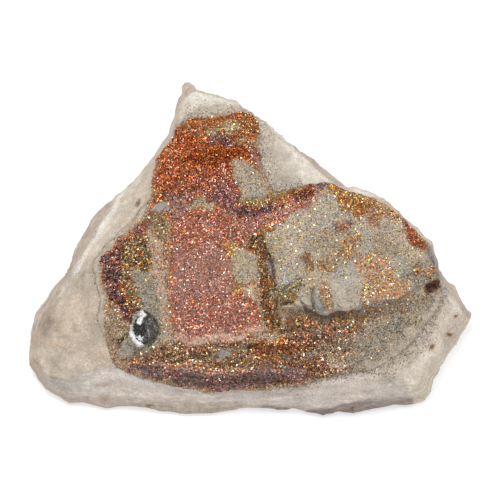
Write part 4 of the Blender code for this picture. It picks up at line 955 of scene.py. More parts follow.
def make_chunks(crust_tree):
    """The nodule and the broken flakes along the ledge, as one piece of closed chunks."""
    ball = bmesh.new()
    bmesh.ops.create_icosphere(ball, subdivisions=CHUNK_DIVISIONS, radius=1.0)
    sphere = np.array([vertex.co for vertex in ball.verts])
    sides = np.array([[vertex.index for vertex in face.verts] for face in ball.faces])
    ball.free()
    points = np.concatenate([chunk_points(chunk, sphere, crust_tree) for chunk in CHUNKS])
    steps = len(sphere) * np.arange(len(CHUNKS))
    mesh = bpy.data.meshes.new("ledge_chunks")
    mesh.from_pydata(points * MM, [], (sides + steps[:, None, None]).reshape(-1, 3).tolist())
    mesh.shade_smooth()
    set_fields(mesh, painted(points, CRUST_START, CRUST_ZONES))
    return new_piece("ledge_chunks", mesh, druse_look())


# ---------------------------------------------------------------- crystals

# A crystal is the corner of a cube that stands out: its point, and three places round its foot.
# Its size is how far those three lie from its axis, and is 1 here. Each crystal is stretched at
# random along its axes, and leans by about the tilt.
CORNER_POINTS = np.array(((0.0, 0.0, 0.45), (0.0, 1.0, -0.26), (-0.87, -0.5, -0.26), (0.87, -0.5, -0.26)))
CORNER_FACES = np.array(((0, 1, 2), (0, 2, 3), (0, 3, 1), (1, 3, 2)))
CORNER_STRETCH = (0.75, 1.3)
CORNER_TILT = 0.5
# Where a face's corners lie in a crystal's cell of the texture map, as shares of the cell.
CELL_CORNERS = np.array(((0.2, 0.2), (0.8, 0.2), (0.8, 0.8)))
MOST_CRYSTALS_A_PIECE = 45_000
# Keeps a triangle without an area from dividing by 0.
LEAST_AREA = 1e-9

# The druse: the ranges of sizes, the spacing that the crystals would have in a square grid, how deep
# they sit as a share of their size, the share of the silted ones that is kept, and how much smaller
# they are where all is calm.
CRYSTAL_SEED = 7
TARNISHED_SIZES = (0.15, 0.30)
SILTED_SIZES = (0.09, 0.19)
CRYSTAL_SPACING = 0.145
CRYSTALS_SUNK = 0.15
SILTED_SHARE = 0.85
CALM_SHRINKING = 0.3


def scattered(mesh, spacing, wanted, rng):
    """Places spread at random over the parts of a mesh that are wanted, with their normals."""
    corners = triangles_of(mesh)
    cross = np.cross(corners[:, 1] - corners[:, 0], corners[:, 2] - corners[:, 0])
    area = np.linalg.norm(cross, axis=1) / 2.0
    normals = cross / np.maximum(area, LEAST_AREA)[:, None] / 2.0
    weight = area * wanted(corners.mean(axis=1), normals)
    picked = rng.choice(len(weight), int(weight.sum() / spacing**2), p=weight / weight.sum())
    first, second = rng.random((2, len(picked), 1))
    outside = first + second > 1.0
    first = np.where(outside, 1.0 - first, first)
    second = np.where(outside, 1.0 - second, second)
    start, one, other = np.moveaxis(corners[picked], 1, 0)
    return Seeds(start + first * (one - start) + second * (other - start), normals[picked])


def some_of(seeds, fields, chosen):
    """The chosen seeds, and the fields at them."""
    part = Seeds(seeds.places[chosen], seeds.normals[chosen])
    return part, {name: values[chosen] for name, values in fields.items()}


def unit(vectors):
    return vectors / np.linalg.norm(vectors, axis=1)[:, None]


def leaning_frames(normals, rng):
    """Rotation matrices that stand the z axis near each normal, with any spin."""
    upright = unit(normals + CORNER_TILT * rng.normal(size=normals.shape))
    side = unit(np.cross(upright, rng.normal(size=normals.shape)))
    return np.stack((side, np.cross(upright, side), upright), axis=2)


def crystal_mesh(name, seeds, sizes, rng, fields):
    """One mesh of many small crystals, each the corner of a cube.

    Every face of a crystal uses the same small cell of the texture map, so that one baked
    picture holds the colour of each crystal.
    """
    count = len(sizes)
    local = CORNER_POINTS * rng.uniform(*CORNER_STRETCH, (count, 1, 3)) * sizes[:, None, None]
    points = np.einsum("nij,nkj->nki", leaning_frames(seeds.normals, rng), local) + seeds.places[:, None]
    corners = len(CORNER_POINTS)
    faces = (CORNER_FACES + corners * np.arange(count)[:, None, None]).reshape(-1, 3)
    mesh = bpy.data.meshes.new(name)
    mesh.from_pydata(points.reshape(-1, 3) * MM, [], faces.tolist())
    columns = math.ceil(math.sqrt(count))
    cells = np.column_stack((np.arange(count) % columns, np.arange(count) // columns))
    face_spots = (cells[:, None] + CELL_CORNERS) / columns
    spots = np.repeat(face_spots[:, None], len(CORNER_FACES), axis=1)
    bake_map = mesh.uv_layers.new(name="OFBake")
    bake_map.uv.foreach_set("vector", spots.astype(np.float32).ravel())
    set_fields(mesh, {field: np.repeat(values, corners) for field, values in fields.items()})
    return mesh


def add_crystals(kind, seeds, sizes, sunk, rng, fields, look):
    """Crystals as several joined pieces, each small enough to be handled alone."""
    seeds = Seeds(seeds.places - seeds.normals * (sizes * sunk)[:, None], seeds.normals)
    order = rng.permutation(len(sizes))
    parts = math.ceil(len(order) / MOST_CRYSTALS_A_PIECE)
    for number, chosen in enumerate(np.array_split(order, parts), 1):
        name = f"{kind}_{number}"
        part, part_fields = some_of(seeds, fields, chosen)
        new_piece(name, crystal_mesh(name, part, sizes[chosen], rng, part_fields), look)


# Crust grains stray on to the rock: they thin out from this far off the crust, and beyond their
# reach they get no fewer. A share of them are crystals, and the rest is painted. They lie on what
# faces up, from none to all of them by how upright the normal is.
STRAY_START_AT = 0.15
STRAYS_REACH = 6.0
STRAY_CRYSTALS = 0.22
STRAY_FACING = (0.1, 0.4)
# stray is how far, in mm, until only about a third of them are left.
STRAY_START = dict(stray=0.06)
STRAY_ZONES = (
    Zone("right slope", dict(stray=2.0), (
        (18, -25), (22, -14), (34, -8), (39, -7), (41, -12), (36, -20), (28, -27)), 1.5),
    Zone("below the lower field", dict(stray=0.5), (
        (2, -26), (24, -22), (26, -27), (16, -30), (2, -29)), 1.5),
    Zone("above the upper block", dict(stray=1.2), (
        (-15, 24), (-8, 26), (0, 28), (0, 31), (-14, 30)), 1.5),
    Zone("right of the upper block", dict(stray=1.3), (
        (1, 27), (5, 25), (9, 16), (10, 12), (4, 9), (1, 14)), 1.5),
    Zone("left of the crust", dict(stray=0.1), (
        (-33, 0), (-28, 0), (-30, -22), (-34, -20)), 1.5),
)


def stray_share(points, facing_up, crust_tree):
    """The share of crust grains among the rock's at each point: 1 at the crust, and fading off."""
    share = smoothstep(facing_up, *STRAY_FACING)
    chosen = np.flatnonzero(share > 0)
    stray = painted(points[chosen], STRAY_START, STRAY_ZONES)["stray"]
    away = distance_to(crust_tree, points[chosen], STRAYS_REACH)
    share[chosen] *= np.exp(-np.maximum(away - STRAY_START_AT, 0.0) / stray)
    return share


def dust_rock(rock, crust_tree):
    """Marks the rock with the share of crust grains that strayed on to it."""
    mesh = rock.data
    set_field(mesh, "strays", stray_share(places_of(mesh), normals_of(mesh)[:, 2], crust_tree))


# Crystals cover what faces up, from none to all of it by how upright the normal is. Steeper places
# than this need to be clear of the rock, which is looked for within the reach.
COVERED_FACING = (-0.1, 0.15)
STEEP_FACING = 0.45
CLEAR_OF_ROCK = 0.45
CLEAR_REACH = 0.5


def crust_seeds(crust, chunks, rock, rock_tree, crust_tree, rng):
    """Places for crystals all over the crust's open top and the chunks, with a few on the rock."""

    def open_top(centres, normals):
        share = smoothstep(normals[:, 2], *COVERED_FACING)
        steep = np.flatnonzero((share > 0) & (normals[:, 2] < STEEP_FACING))
        share[steep] *= distance_to(rock_tree, centres[steep], CLEAR_REACH) > CLEAR_OF_ROCK
        return share

    def near_crust(centres, normals):
        return STRAY_CRYSTALS * stray_share(centres, normals[:, 2], crust_tree)

    def upper_half(centres, normals):
        return normals[:, 2] > 0.0

    on_crust = scattered(crust.data, CRYSTAL_SPACING, open_top, rng)
    on_rock = scattered(rock.data, CRYSTAL_SPACING, near_crust, rng)
    on_chunks = scattered(chunks.data, CRYSTAL_SPACING, upper_half, rng)
    return Seeds(*(np.concatenate(parts) for parts in zip(on_crust, on_rock, on_chunks)))


# Colours: crystals take theirs from a place about this many mm off, and their film drifts.
MINGLING = 0.28
FILM_DRIFT = Noise(0.07, 1.3, 61, 2)

# Rows: long bumps across the sheet, how much they add to the film, and to brightness's logarithm.
ROWS = Noise(1.0, 0.7, 67, 2)
ROW_STRETCH = (0.1, 1.0, 1.0)
ROW_FILM = 0.12
ROW_DEPTH = 0.95

# Painted sparkle: the logarithm of a crystal's brightness is GLINT times the sum of a random number
# and the clumps. The number spreads by 1 about USUAL_GLINT, and stays below MOST_GLINT. CALMING is
# how much of GLINT is lost where all is calm. The last number is how bright the dimmed crystals are
# beside the others.
GLINT = 0.85
USUAL_GLINT = -0.15
MOST_GLINT = 1.35
CLUMPS = Noise(0.8, 0.32, 73, 1)
CALMING = 0.55
DIMMING = 0.3


def druse_fields(seeds, rng):
    """The crust's fields at each crystal, with a film and a brightness of its own."""
    count = len(seeds.places)
    mingled = seeds.places + rng.normal(0.0, MINGLING, (count, 3))
    fields = painted(mingled, CRUST_START, CRUST_ZONES, CRUST_RAGGED)
    drift = noise_at(seeds.places, FILM_DRIFT) + rng.normal(0.0, fields["mixed"])
    rows = fields["streaky"] * noise_at(seeds.places * ROW_STRETCH, ROWS)
    drift += ROW_FILM * rows
    fields["film"] = np.clip(fields["film"] + drift, 0.0, 1.0)
    glint = GLINT * (1.0 - CALMING * fields["calm"])
    clumps = noise_at(seeds.places, CLUMPS)
    glints = glint * (np.minimum(rng.normal(USUAL_GLINT, 1.0, count), MOST_GLINT) + clumps)
    dimmed = np.where(rng.random(count) < fields["mixed"], DIMMING, 1.0)
    evened = 1.0 - (1.0 - DIMMING) * fields["mixed"]
    fields["shade"] = fields["shade"] * np.exp(glints + ROW_DEPTH * rows) * dimmed / evened
    return fields


def make_crystals(crust, chunks, rock, rock_tree, crust_tree):
    """The druse: bright tarnished crystals, and dull ones where silt covers them."""
    rng = np.random.default_rng(CRYSTAL_SEED)
    seeds = crust_seeds(crust, chunks, rock, rock_tree, crust_tree, rng)
    fields = druse_fields(seeds, rng)
    count = len(seeds.places)
    silted = rng.random(count) < fields["veil"]
    bare = rng.random(count) < fields["bare"]
    kept = rng.random(count) < SILTED_SHARE
    for kind, chosen, size_range, look in (
        ("tarnished_crystals", ~silted & ~bare, TARNISHED_SIZES, tarnished_look()),
        ("silted_crystals", silted & kept & ~bare, SILTED_SIZES, silted_look()),
    ):
        part, part_fields = some_of(seeds, fields, chosen)
        sizes = rng.uniform(*size_range, len(part.places)) * (1.0 - CALM_SHRINKING * part_fields["calm"])
        add_crystals(kind, part, sizes, CRYSTALS_SUNK, rng, part_fields, look)


# ---------------------------------------------------------------- the knot and the white mineral

# white is the share of the knot that the white mineral hides, and along one line a painted highlight;
# tone is the knot's brightness, lowered as painted shade in a hollow and raised as a painted highlight.
KNOT_START = dict(white=0.0, tone=1.0)
KNOT_ZONES = (
    # Painted shade: the knot is darker in a hollow on its left.
    Zone("dark hollow", dict(tone=0.3), (
        (-23.4, -14.6), (-22, -14.4), (-21, -15.2), (-20.8, -16.6), (-21.6, -17.4), (-22.8, -17),
        (-23.6, -16)), 0.12),
    Zone("grey face", dict(tone=1.3), (
        (-20.6, -13.2), (-19.2, -13.6), (-18.6, -15.2), (-18.8, -17.2), (-20, -18.2), (-20.8, -16.8),
        (-20.4, -15.2)), 0.3),
    Zone("pale rim", dict(tone=3.2), (
        (-20.2, -12.4), (-19.2, -13), (-18.4, -14.2), (-18.2, -15.6), (-18.6, -17.2), (-19, -17),
        (-18.8, -15.4), (-19.2, -14), (-20, -13.2), (-20.8, -12.8)), 0.15),
    # Painted highlight: a small bright spot on the knot, on its ground and its crystals.
    Zone("knob", dict(tone=4.5), (
        (-20.2, -13.9), (-19.5, -13.8), (-19.3, -14.3), (-20, -14.6)), 0.12),
    Zone("upper spread", dict(white=1.0), (
        (-20.6, -11.8), (-20.2, -12.4), (-20.8, -13.2), (-21.4, -13.6), (-21.6, -14.4), (-22, -15),
        (-22.6, -14.6), (-23.4, -14.7), (-24, -14.8), (-24.4, -14.4), (-23.6, -13.2), (-22.6, -12),
        (-21.6, -11.4)), 0.1),
    Zone("lower spread", dict(white=1.0), (
        (-24.8, -16.2), (-23.8, -16.4), (-23.2, -16.9), (-22.4, -17.2), (-22, -16.9), (-21.9, -17.5),
        (-21.3, -17.3), (-21.5, -17.9), (-21.2, -18.4), (-21.8, -19), (-22.4, -20), (-24, -19),
        (-24.8, -17.2)), 0.1),
    # Painted highlight: a thin bright line on the knot, in a little of the white mineral's colour.
    Zone("painted highlight line", dict(white=0.3), (
        (-20.6, -15.2), (-20.36, -15.4), (-19.96, -17.4), (-20.2, -17.6), (-20.6, -16.4)), 0.08),
)

# The knot's crystals: sizes, spacing and depth as in the druse, the share of bare places that have
# one, from none to all of it by how upright the normal is, and the middle and the spread of the
# logarithm of their brightness.
KNOT_SEED = 19
KNOT_SIZES = (0.14, 0.28)
KNOT_SPACING = 0.15
KNOT_SUNK = 0.2
KNOT_COVER = 0.9
KNOT_FACING = (-0.1, 0.2)
KNOT_GLINT = (-0.2, 1.1)
KNOT_RIDGES = Noise(0.5, 1.1, 53, 3)

# dusty is where silt hides the mineral.
MINERAL_START = dict(dusty=0.0)
MINERAL_ZONES = (
    Zone("left of the upper patch", dict(dusty=1.0), (
        (-26, -10), (-21.6, -10), (-21.6, -11.8), (-22, -12.4), (-22.4, -13.4), (-22.8, -14.2),
        (-23, -14.8), (-24.4, -15.2), (-26, -14.4)), 0.12),
    Zone("between the patches", dict(dusty=0.5), (
        (-26, -15), (-24.4, -14.8), (-23.4, -15), (-23.2, -15.6), (-23.6, -16.4), (-24.4, -16.4),
        (-26, -16.6)), 0.12),
    Zone("outside the lower patch", dict(dusty=1.0), (
        (-26, -16.4), (-24.4, -16.4), (-24, -17), (-23.6, -17.8), (-23, -18.5), (-22.2, -19.3),
        (-21.4, -19.2), (-21.2, -18.6), (-20.4, -18.8), (-18.4, -19.6), (-21.6, -22), (-26, -20.4)), 0.12),
)
MINERAL_RIDGES = Noise(0.5, 0.7, 59, 3)

# Both lumps grow by the swell, which closes the gap between them, and their ridges rise and sink
# about the ridges' middle height.
LUMP_SWELL = 0.14
RIDGE_MIDDLE = 0.15


def broken_up(points, normals, ridges):
    """A lump's points moved to a rough surface with angular ridges."""
    rise = np.abs(noise_at(points, ridges)) - RIDGE_MIDDLE + LUMP_SWELL
    return points + normals * rise[:, None]


def make_lump(node, name, look, ridges, start, zones):
    """A fine, rough copy of one of the two small pieces."""
    mesh = remeshed(node, LUMP_VOXEL)
    set_places(mesh, broken_up(places_of(mesh), normals_of(mesh), ridges))
    set_fields(mesh, painted(places_of(mesh), start, zones))
    piece = new_piece(name, mesh, look)
    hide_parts(node)
    return piece


def make_knot():
    """The dark knot, with small dark crystals wherever the white mineral leaves it bare."""
    knot = make_lump(
        "dark_crystal_knot",
        "dark_knot_surface",
        knot_look(),
        KNOT_RIDGES,
        KNOT_START,
        KNOT_ZONES,
    )

    def upper_side(centres, normals):
        return smoothstep(normals[:, 2], *KNOT_FACING)

    rng = np.random.default_rng(KNOT_SEED)
    seeds = scattered(knot.data, KNOT_SPACING, upper_side, rng)
    fields = painted(seeds.places, KNOT_START, KNOT_ZONES)
    count = len(seeds.places)
    bare = rng.random(count) < KNOT_COVER - fields["white"]
    shade = fields["tone"] * np.exp(rng.normal(*KNOT_GLINT, count))
    sizes = rng.uniform(*KNOT_SIZES, count)
    part, part_fields = some_of(seeds, dict(shade=shade), bare)
    look = dark_look()
    add_crystals("dark_crystals", part, sizes[bare], KNOT_SUNK, rng, part_fields, look)


def make_white_mineral():
    make_lump(
        "white_mineral",
        "white_mineral_surface",
        white_look(),
        MINERAL_RIDGES,
        MINERAL_START,
        MINERAL_ZONES,
    )


# ---------------------------------------------------------------- materials

# A stretch that changes nothing.
EVEN = (1.0, 1.0, 1.0)

# Noise nodes stay mostly in this span.
NOISE_SPAN = (0.38, 0.62)

# A wider span, and how far it pulls a painted form's edge in or out.
EDGE_SPAN = (0.3, 0.7)
EDGE_PULL = (0.6, 1.5)


class Nodes:
    """A material's node tree, built one node at a time."""

    def __init__(self, name):
        self.material = bpy.data.materials.new(name)
        self.material.use_nodes = True
        self.tree = self.material.node_tree

    def finished(self, inputs):
        """The material, once its shader has these inputs."""
        self.feed(self.tree.nodes["Principled BSDF"], inputs)
        return self.material

    def add(self, kind, inputs=None, **settings):
        node = self.tree.nodes.new(kind)
        for name, value in settings.items():
            setattr(node, name, value)
        self.feed(node, inputs or {})
        return node

    def feed(self, node, inputs):
        """Sets sockets, by name or number, to numbers or colours, or links them to others."""
        for name, value in inputs.items():
            socket = node.inputs[name]
            if isinstance(value, bpy.types.NodeSocket):
                self.tree.links.new(value, socket)
            elif isinstance(value, tuple) and socket.type == "RGBA":
                socket.default_value = (*value, 1.0)
            else:
                socket.default_value = value

    def millimetres(self, stretch=EVEN):
        """The piece's own coordinates in mm, each divided by its stretch."""
        own = self.add("ShaderNodeTexCoord").outputs["Object"]
        scale = tuple(1.0 / (MM * part) for part in stretch)
        return self.add("ShaderNodeMapping", {"Vector": own, "Scale": scale}).outputs["Vector"]

    def noise(self, cell, stretch=EVEN, detail=3.0, roughness=0.55):
        """Noise round 0.5, with features about one cell wide."""
        vector = self.millimetres(stretch)
        inputs = {"Vector": vector, "Scale": 1.0 / cell, "Detail": detail, "Roughness": roughness}
        return self.add("ShaderNodeTexNoise", inputs).outputs["Fac"]

    def mottle(self, low, high, cell, **settings):
        """Noise carried to low..high."""
        return self.between(self.noise(cell, **settings), *NOISE_SPAN, low, high)

    def grains(self, cell):
        """Packed grains one cell wide: three random numbers for each, and how far its middle is."""
        inputs = {"Vector": self.millimetres(), "Scale": 1.0 / cell}
        cells = self.add("ShaderNodeTexVoronoi", inputs)
        parts = self.add("ShaderNodeSeparateColor", {"Color": cells.outputs["Color"]})
        return (*parts.outputs, cells.outputs["Distance"])

    def calculated(self, operation, first, second):
        node = self.add("ShaderNodeMath", {0: first, 1: second}, operation=operation)
        return node.outputs["Value"]

    def below(self, value, limit):
        """1 where value is below the limit, or else 0."""
        return self.calculated("LESS_THAN", value, limit)

    def between(self, value, low, high, to_low=0.0, to_high=1.0):
        """value carried from low..high to to_low..to_high, and held there."""
        inputs = {"Value": value, "From Min": low, "From Max": high, "To Min": to_low, "To Max": to_high}
        return self.add("ShaderNodeMapRange", inputs).outputs["Result"]

    def spread(self, value, low, high):
        """A number from 0 to 1 carried to low..high."""
        return self.between(value, 0.0, 1.0, low, high)

    def reach(self, form, cell):
        """How far a place is from a form's middle: 1 at its edge, which noise makes ragged."""
        cos, sin = cos_and_sin(form.turn)
        own = self.add("ShaderNodeTexCoord").outputs["Object"]
        parts = []
        for size, right, above in ((form.half_length, cos, sin), (form.half_width, -sin, cos)):
            way = Vector((right, above * math.sin(VIEW_ELEVATION), above * math.cos(VIEW_ELEVATION)))
            middle = way.dot(SHEET_MIDDLE) + right * form.across + above * form.up
            inputs = {0: own, 1: tuple(way / (MM * size))}
            dot = self.add("ShaderNodeVectorMath", inputs, operation="DOT_PRODUCT")
            parts.append(self.calculated("SUBTRACT", dot.outputs["Value"], middle / size))
        both = self.add("ShaderNodeCombineXYZ", {"X": parts[0], "Y": parts[1]}).outputs["Vector"]
        length = self.add("ShaderNodeVectorMath", {0: both}, operation="LENGTH").outputs["Value"]
        pull = self.between(self.noise(cell), *EDGE_SPAN, *EDGE_PULL)
        return self.calculated("MULTIPLY", length, pull)

    def field(self, name, colour=False):
        node = self.add("ShaderNodeAttribute", attribute_name=name)
        return node.outputs["Color" if colour else "Fac"]

    def mix(self, first, second, share):
        """A Mix node's colour sockets share their names with others, so they go by number."""
        inputs = {0: share, 6: first, 7: second}
        return self.add("ShaderNodeMix", inputs, data_type="RGBA").outputs[2]

    def scaled(self, colour, amount):
        """A colour times a number."""
        inputs = {0: colour, "Scale": amount}
        return self.add("ShaderNodeVectorMath", inputs, operation="SCALE").outputs[0]

    def ramp(self, value, stops):
        node = self.add("ShaderNodeValToRGB", {"Fac": value})
        elements = node.color_ramp.elements
        while len(elements) < len(stops):
            elements.new(0.5)
        for element, (place, colour) in zip(elements, stops):
            element.position = place
            element.color = (*colour, 1.0)
        return node.outputs["Color"]

    def bump(self, height, distance, under=None):
        """The normal of a surface that height lifts by up to the distance in mm."""
        inputs = {"Height": height, "Distance": distance * MM}
        if under is not None:
            inputs["Normal"] = under
        return self.add("ShaderNodeBump", inputs).outputs["Normal"]


# Thin oxide films on pyrite, from the thinnest to the thickest.
TARNISH = (
    (0.00, (0.60, 0.52, 0.32)),
    (0.12, (0.62, 0.44, 0.18)),
    (0.26, (0.63, 0.255, 0.065)),
    (0.40, (0.55, 0.09, 0.015)),
    (0.53, (0.60, 0.26, 0.18)),
    (0.64, (0.36, 0.145, 0.13)),
    (0.76, (0.19, 0.13, 0.18)),
    (0.86, (0.15, 0.16, 0.20)),
    (0.93, (0.10, 0.36, 0.34)),
    (1.00, (0.28, 0.45, 0.20)),
)
SILT = (0.475, 0.405, 0.32)
BLUE_SILT = (0.33, 0.335, 0.33)
DARK_GRAIN = (0.12, 0.095, 0.07)
# The mudstone that laps over the crust's edge.
THIN_ROCK = (0.49, 0.41, 0.33)


def tarnish(nodes):
    return nodes.ramp(nodes.field("film"), TARNISH)


def silt(nodes):
    return nodes.mix(SILT, BLUE_SILT, nodes.field("cool"))


def tarnished_look():
    """Bright metal under a thin film, each crystal with its own colour and depth of colour."""
    nodes = Nodes("tarnished_pyrite")
    colour = nodes.scaled(tarnish(nodes), nodes.field("shade"))
    return nodes.finished({"Base Color": colour, "Metallic": 1.0, "Roughness": 0.3})


# The share of the metal's colour that comes through the silt, and what becomes of the shade.
METAL_THROUGH_SILT = 0.25
SHADE_SPAN = (0.1, 2.0)
SILTED_SHADES = (0.15, 1.8)


def silted_look():
    """Crystals under a skin of silt, which lets a little of the metal through."""
    nodes = Nodes("silted_pyrite")
    colour = nodes.mix(silt(nodes), tarnish(nodes), METAL_THROUGH_SILT)
    colour = nodes.scaled(colour, nodes.between(nodes.field("shade"), *SHADE_SPAN, *SILTED_SHADES))
    return nodes.finished({"Base Color": colour, "Metallic": 0.0, "Roughness": 0.6})


# The ground: its grains' width, how light its silted ones are, how dark its tarnished ones are as
# painted shade in the gaps between crystals, the share of dark ones by how mixed the colours are, the
# share of bright ones among the silted, and how far clay hides them where there are no crystals.
GROUND_GRAIN = 0.2
GRAIN_SHADES = (0.6, 1.25)
GAP_SHADE_TONES = (0.03, 0.42)
MIXED_SPAN = (0.0, 0.2)
DARK_SHARES = (0.03, 0.32)
BRIGHT_SHARE = 0.208
BARE_CLAY = 0.6


def druse_look():
    """The crust between its crystals: packed grains, some dark and a few bright with tarnish."""
    nodes = Nodes("druse_ground")
    tone, pick, other_pick, away = nodes.grains(GROUND_GRAIN)
    mottle = nodes.mottle(0.84, 1.14, cell=1.7, detail=5.0, roughness=0.65)
    clay = nodes.scaled(silt(nodes), mottle)
    silted = nodes.scaled(clay, nodes.spread(tone, *GRAIN_SHADES))
    dark_share = nodes.between(nodes.field("mixed"), *MIXED_SPAN, *DARK_SHARES)
    silted = nodes.mix(silted, DARK_GRAIN, nodes.below(pick, dark_share))
    silted = nodes.mix(silted, tarnish(nodes), nodes.below(other_pick, BRIGHT_SHARE))
    silted = nodes.mix(silted, clay, nodes.calculated("MULTIPLY", nodes.field("bare"), BARE_CLAY))
    # Where no silt lies, the ground is the tarnish darkened to stand for the gaps between crystals: painted
    # shade.
    bright = nodes.scaled(tarnish(nodes), nodes.spread(tone, *GAP_SHADE_TONES))
    colour = nodes.mix(bright, silted, nodes.field("veil"))
    colour = nodes.scaled(colour, nodes.field("shade"))
    colour = nodes.mix(colour, nodes.scaled(THIN_ROCK, mottle), nodes.field("rocky"))
    normal = nodes.bump(nodes.spread(away, 1.0, 0.0), distance=0.08)
    inputs = {"Base Color": colour, "Roughness": 0.75, "Specular IOR Level": 0.1, "Normal": normal}
    return nodes.finished(inputs)


# Stains and specks: the span of noise over which they come in, and how strong they get.
STAIN_SPAN = (0.54, 0.70)
STAIN = 0.5
SPECK_SPAN = (0.70, 0.74)
SPECK = 0.7

# Crust grains on the rock: how wide they are, how light, and the most of them.
STRAY_GRAIN = 0.19
STRAY_SHADE = 0.9
MOST_STRAYS = 0.75

# Pits: where their rims and their darkness fade, in shares of their size, how strong both get, and
# how wide the bumps of their ragged edges are.
RIM_SPAN = (1.0, 1.5)
RIM_STRENGTH = 0.6
PIT_SPAN = (0.4, 0.9)
PIT_STRENGTH = 0.85
PIT_EDGE = 0.28


def with_strays(nodes, colour):
    """The mudstone's colour with the crust grains that strayed on to it."""
    tone, pick = nodes.grains(STRAY_GRAIN)[:2]
    stray_colour = nodes.scaled(nodes.mix(DARK_GRAIN, SILT, tone), STRAY_SHADE)
    share = nodes.calculated("MULTIPLY", nodes.field("strays"), MOST_STRAYS)
    return nodes.mix(colour, stray_colour, nodes.below(pick, share))


def with_pits(nodes, colour):
    """The mudstone's colour with its dark pits, each inside a rusty rim."""
    for pit in PITS:
        reach = nodes.reach(pit, PIT_EDGE)
        colour = nodes.mix(colour, PIT_RIM, nodes.between(reach, *RIM_SPAN, RIM_STRENGTH, 0.0))
        colour = nodes.mix(colour, PIT, nodes.between(reach, *PIT_SPAN, PIT_STRENGTH, 0.0))
    return colour


def mudstone_look():
    """Pale siltstone: faint beds, soft stains, a fine grain, and crust grains strayed on to it."""
    nodes = Nodes("mudstone")
    beds = nodes.mottle(0.88, 1.10, cell=0.55, stretch=(14.0, 14.0, 1.0), detail=5.0)
    clouds = nodes.mottle(0.89, 1.09, cell=3.0, detail=6.0, roughness=0.7)
    patches = nodes.mottle(0.92, 1.07, cell=0.9, detail=4.0, roughness=0.7)
    grain = nodes.mottle(0.84, 1.14, cell=0.28, detail=2.0, roughness=0.8)
    colour = nodes.field("tint", colour=True)
    for share in (beds, clouds, patches, grain):
        colour = nodes.scaled(colour, share)
    stains = nodes.noise(cell=1.6, stretch=(3.0, 3.0, 1.0), detail=5.0, roughness=0.7)
    colour = nodes.mix(colour, BLUSH, nodes.between(stains, *STAIN_SPAN, 0.0, STAIN))
    specks = nodes.noise(cell=0.42, detail=1.0)
    colour = nodes.mix(colour, SMUDGE, nodes.between(specks, *SPECK_SPAN, 0.0, SPECK))
    colour = with_pits(nodes, with_strays(nodes, colour))
    fine = nodes.bump(nodes.noise(cell=0.3, detail=4.0, roughness=0.7), distance=0.14)
    steps = nodes.noise(cell=1.4, stretch=(4.0, 4.0, 1.0), detail=4.0)
    normal = nodes.bump(steps, distance=0.2, under=fine)
    inputs = {"Base Color": colour, "Roughness": 0.92, "Specular IOR Level": 0.25, "Normal": normal}
    return nodes.finished(inputs)


# Colours by noise, from the hollows up, the low end painted shade: the white mineral, and the knot's
# ground.
WHITE = ((0.34, (0.45, 0.44, 0.43)), (0.47, (0.88, 0.88, 0.88)))
DARK = ((0.40, (0.02, 0.018, 0.016)), (0.60, (0.13, 0.112, 0.095)))
# A dark crystal's colour by its shade.
DARK_METAL = ((0.0, (0.0, 0.0, 0.0)), (1.0, (0.20, 0.18, 0.165)))


def white_colour(nodes):
    """Sugary white, greyer in its hollows as painted shade."""
    return nodes.ramp(nodes.noise(cell=0.5, detail=4.0), WHITE)


def knot_look():
    """Dark ground with the white mineral spread over parts of it."""
    nodes = Nodes("dark_crystal_ground")
    dark = nodes.scaled(nodes.ramp(nodes.noise(cell=0.4), DARK), nodes.field("tone"))
    colour = nodes.mix(dark, white_colour(nodes), nodes.field("white"))
    normal = nodes.bump(nodes.noise(cell=0.2), distance=0.1)
    return nodes.finished({"Base Color": colour, "Roughness": 0.5, "Normal": normal})


def dark_look():
    """Dark grey metal, each crystal with its own brightness."""
    nodes = Nodes("dark_crystal")
    colour = nodes.ramp(nodes.field("shade"), DARK_METAL)
    return nodes.finished({"Base Color": colour, "Metallic": 0.8, "Roughness": 0.3})


# The silt over the white mineral: how wide its grains are, and how light.
DUST_GRAIN = 0.25
DUST_SHADES = (0.2, 1.1)


def white_look():
    """White mineral, with silt over its edges."""
    nodes = Nodes("white_mineral")
    tone = nodes.grains(DUST_GRAIN)[0]
    dust = nodes.scaled(SILT, nodes.spread(tone, *DUST_SHADES))
    colour = nodes.mix(white_colour(nodes), dust, nodes.field("dusty"))
    normal = nodes.bump(nodes.noise(cell=0.2), distance=0.12)
    return nodes.finished({"Base Color": colour, "Roughness": 0.5, "Normal": normal})


# ---------------------------------------------------------------- floor, lights and camera

# How far the floor goes to each side, and how far the lamps stand off, in metres.
FLOOR_REACH = 4.0
LAMP_DISTANCE = 1.0

# White paper that glows a little, so that it is as white as in the photograph.
PAPER = {
    "Base Color": (0.72, 0.72, 0.72),
    "Roughness": 0.9,
    "Emission Color": (0.97, 0.98, 1.0),
    "Emission Strength": 0.36,
}
SKY_COLOUR = (0.95, 0.97, 1.0, 1.0)
SKY_STRENGTH = 0.62

# Each lamp's name, azimuth and elevation in degrees, side in metres and power in watts.
SOFTBOXES = (
    ("key", -150.0, 62.0, 0.5, 5.0),
    ("side", 110.0, 50.0, 0.3, 1.4),
    ("front", 15.0, 45.0, 0.3, 1.8),
)


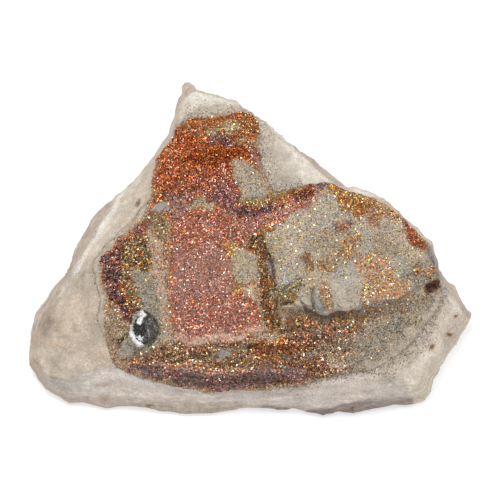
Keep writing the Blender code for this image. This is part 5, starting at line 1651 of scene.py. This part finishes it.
def make_floor():
    """A plain white sheet under the specimen."""
    mesh = bpy.data.meshes.new("floor")
    signs = ((-1, -1), (1, -1), (1, 1), (-1, 1))
    corners = [(x * FLOOR_REACH, y * FLOOR_REACH, 0.0) for x, y in signs]
    mesh.from_pydata(corners, [], [(0, 1, 2, 3)])
    mesh.materials.append(Nodes("white_paper").finished(PAPER))
    floor = bpy.data.objects.new("floor", mesh)
    bpy.context.scene.collection.objects.link(floor)


def add_softbox(name, azimuth, elevation, size, power):
    """A square lamp that faces the specimen; azimuth 0 is on the camera's side."""
    light = bpy.data.lights.new(name, "AREA")
    light.energy = power
    light.size = size
    lamp = bpy.data.objects.new(name, light)
    turn, rise = math.radians(azimuth), math.radians(elevation)
    flat = math.cos(rise)
    way = Vector((math.sin(turn) * flat, -math.cos(turn) * flat, math.sin(rise)))
    lamp.location = way * LAMP_DISTANCE
    lamp.rotation_euler = (-way).to_track_quat("-Z", "Y").to_euler()
    bpy.context.scene.collection.objects.link(lamp)


def light_studio():
    world = bpy.data.worlds.new("studio")
    world.use_nodes = True
    background = world.node_tree.nodes["Background"]
    background.inputs["Color"].default_value = SKY_COLOUR
    background.inputs["Strength"].default_value = SKY_STRENGTH
    bpy.context.scene.world = world
    for softbox in SOFTBOXES:
        add_softbox(*softbox)


def place_camera():
    """The photograph's view: level with its frame, looking down at VIEW_ELEVATION."""
    camera = bpy.data.cameras.new("camera")
    camera.sensor_width = CAMERA_SENSOR
    camera.lens = CAMERA_LENS
    camera.clip_start, camera.clip_end = CAMERA_CLIP
    holder = bpy.data.objects.new("camera", camera)
    holder.location = (SHEET_MIDDLE + TOWARD_VIEWER * CAMERA_DISTANCE) * MM
    holder.rotation_euler = (-TOWARD_VIEWER).to_track_quat("-Z", "Y").to_euler()
    scene = bpy.context.scene
    scene.collection.objects.link(holder)
    scene.camera = holder
    scene.view_settings.view_transform = "Standard"


# ---------------------------------------------------------------- the scene


def main():
    place_camera()
    light_studio()
    make_floor()
    rock = make_rock()
    rock_tree = tree_of(rock.data)
    crust = make_crust(rock_tree)
    crust_tree = tree_of(crust.data)
    dust_rock(rock, crust_tree)
    chunks = make_chunks(crust_tree)
    make_crystals(crust, chunks, rock, rock_tree, crust_tree)
    make_knot()
    make_white_mineral()


main()
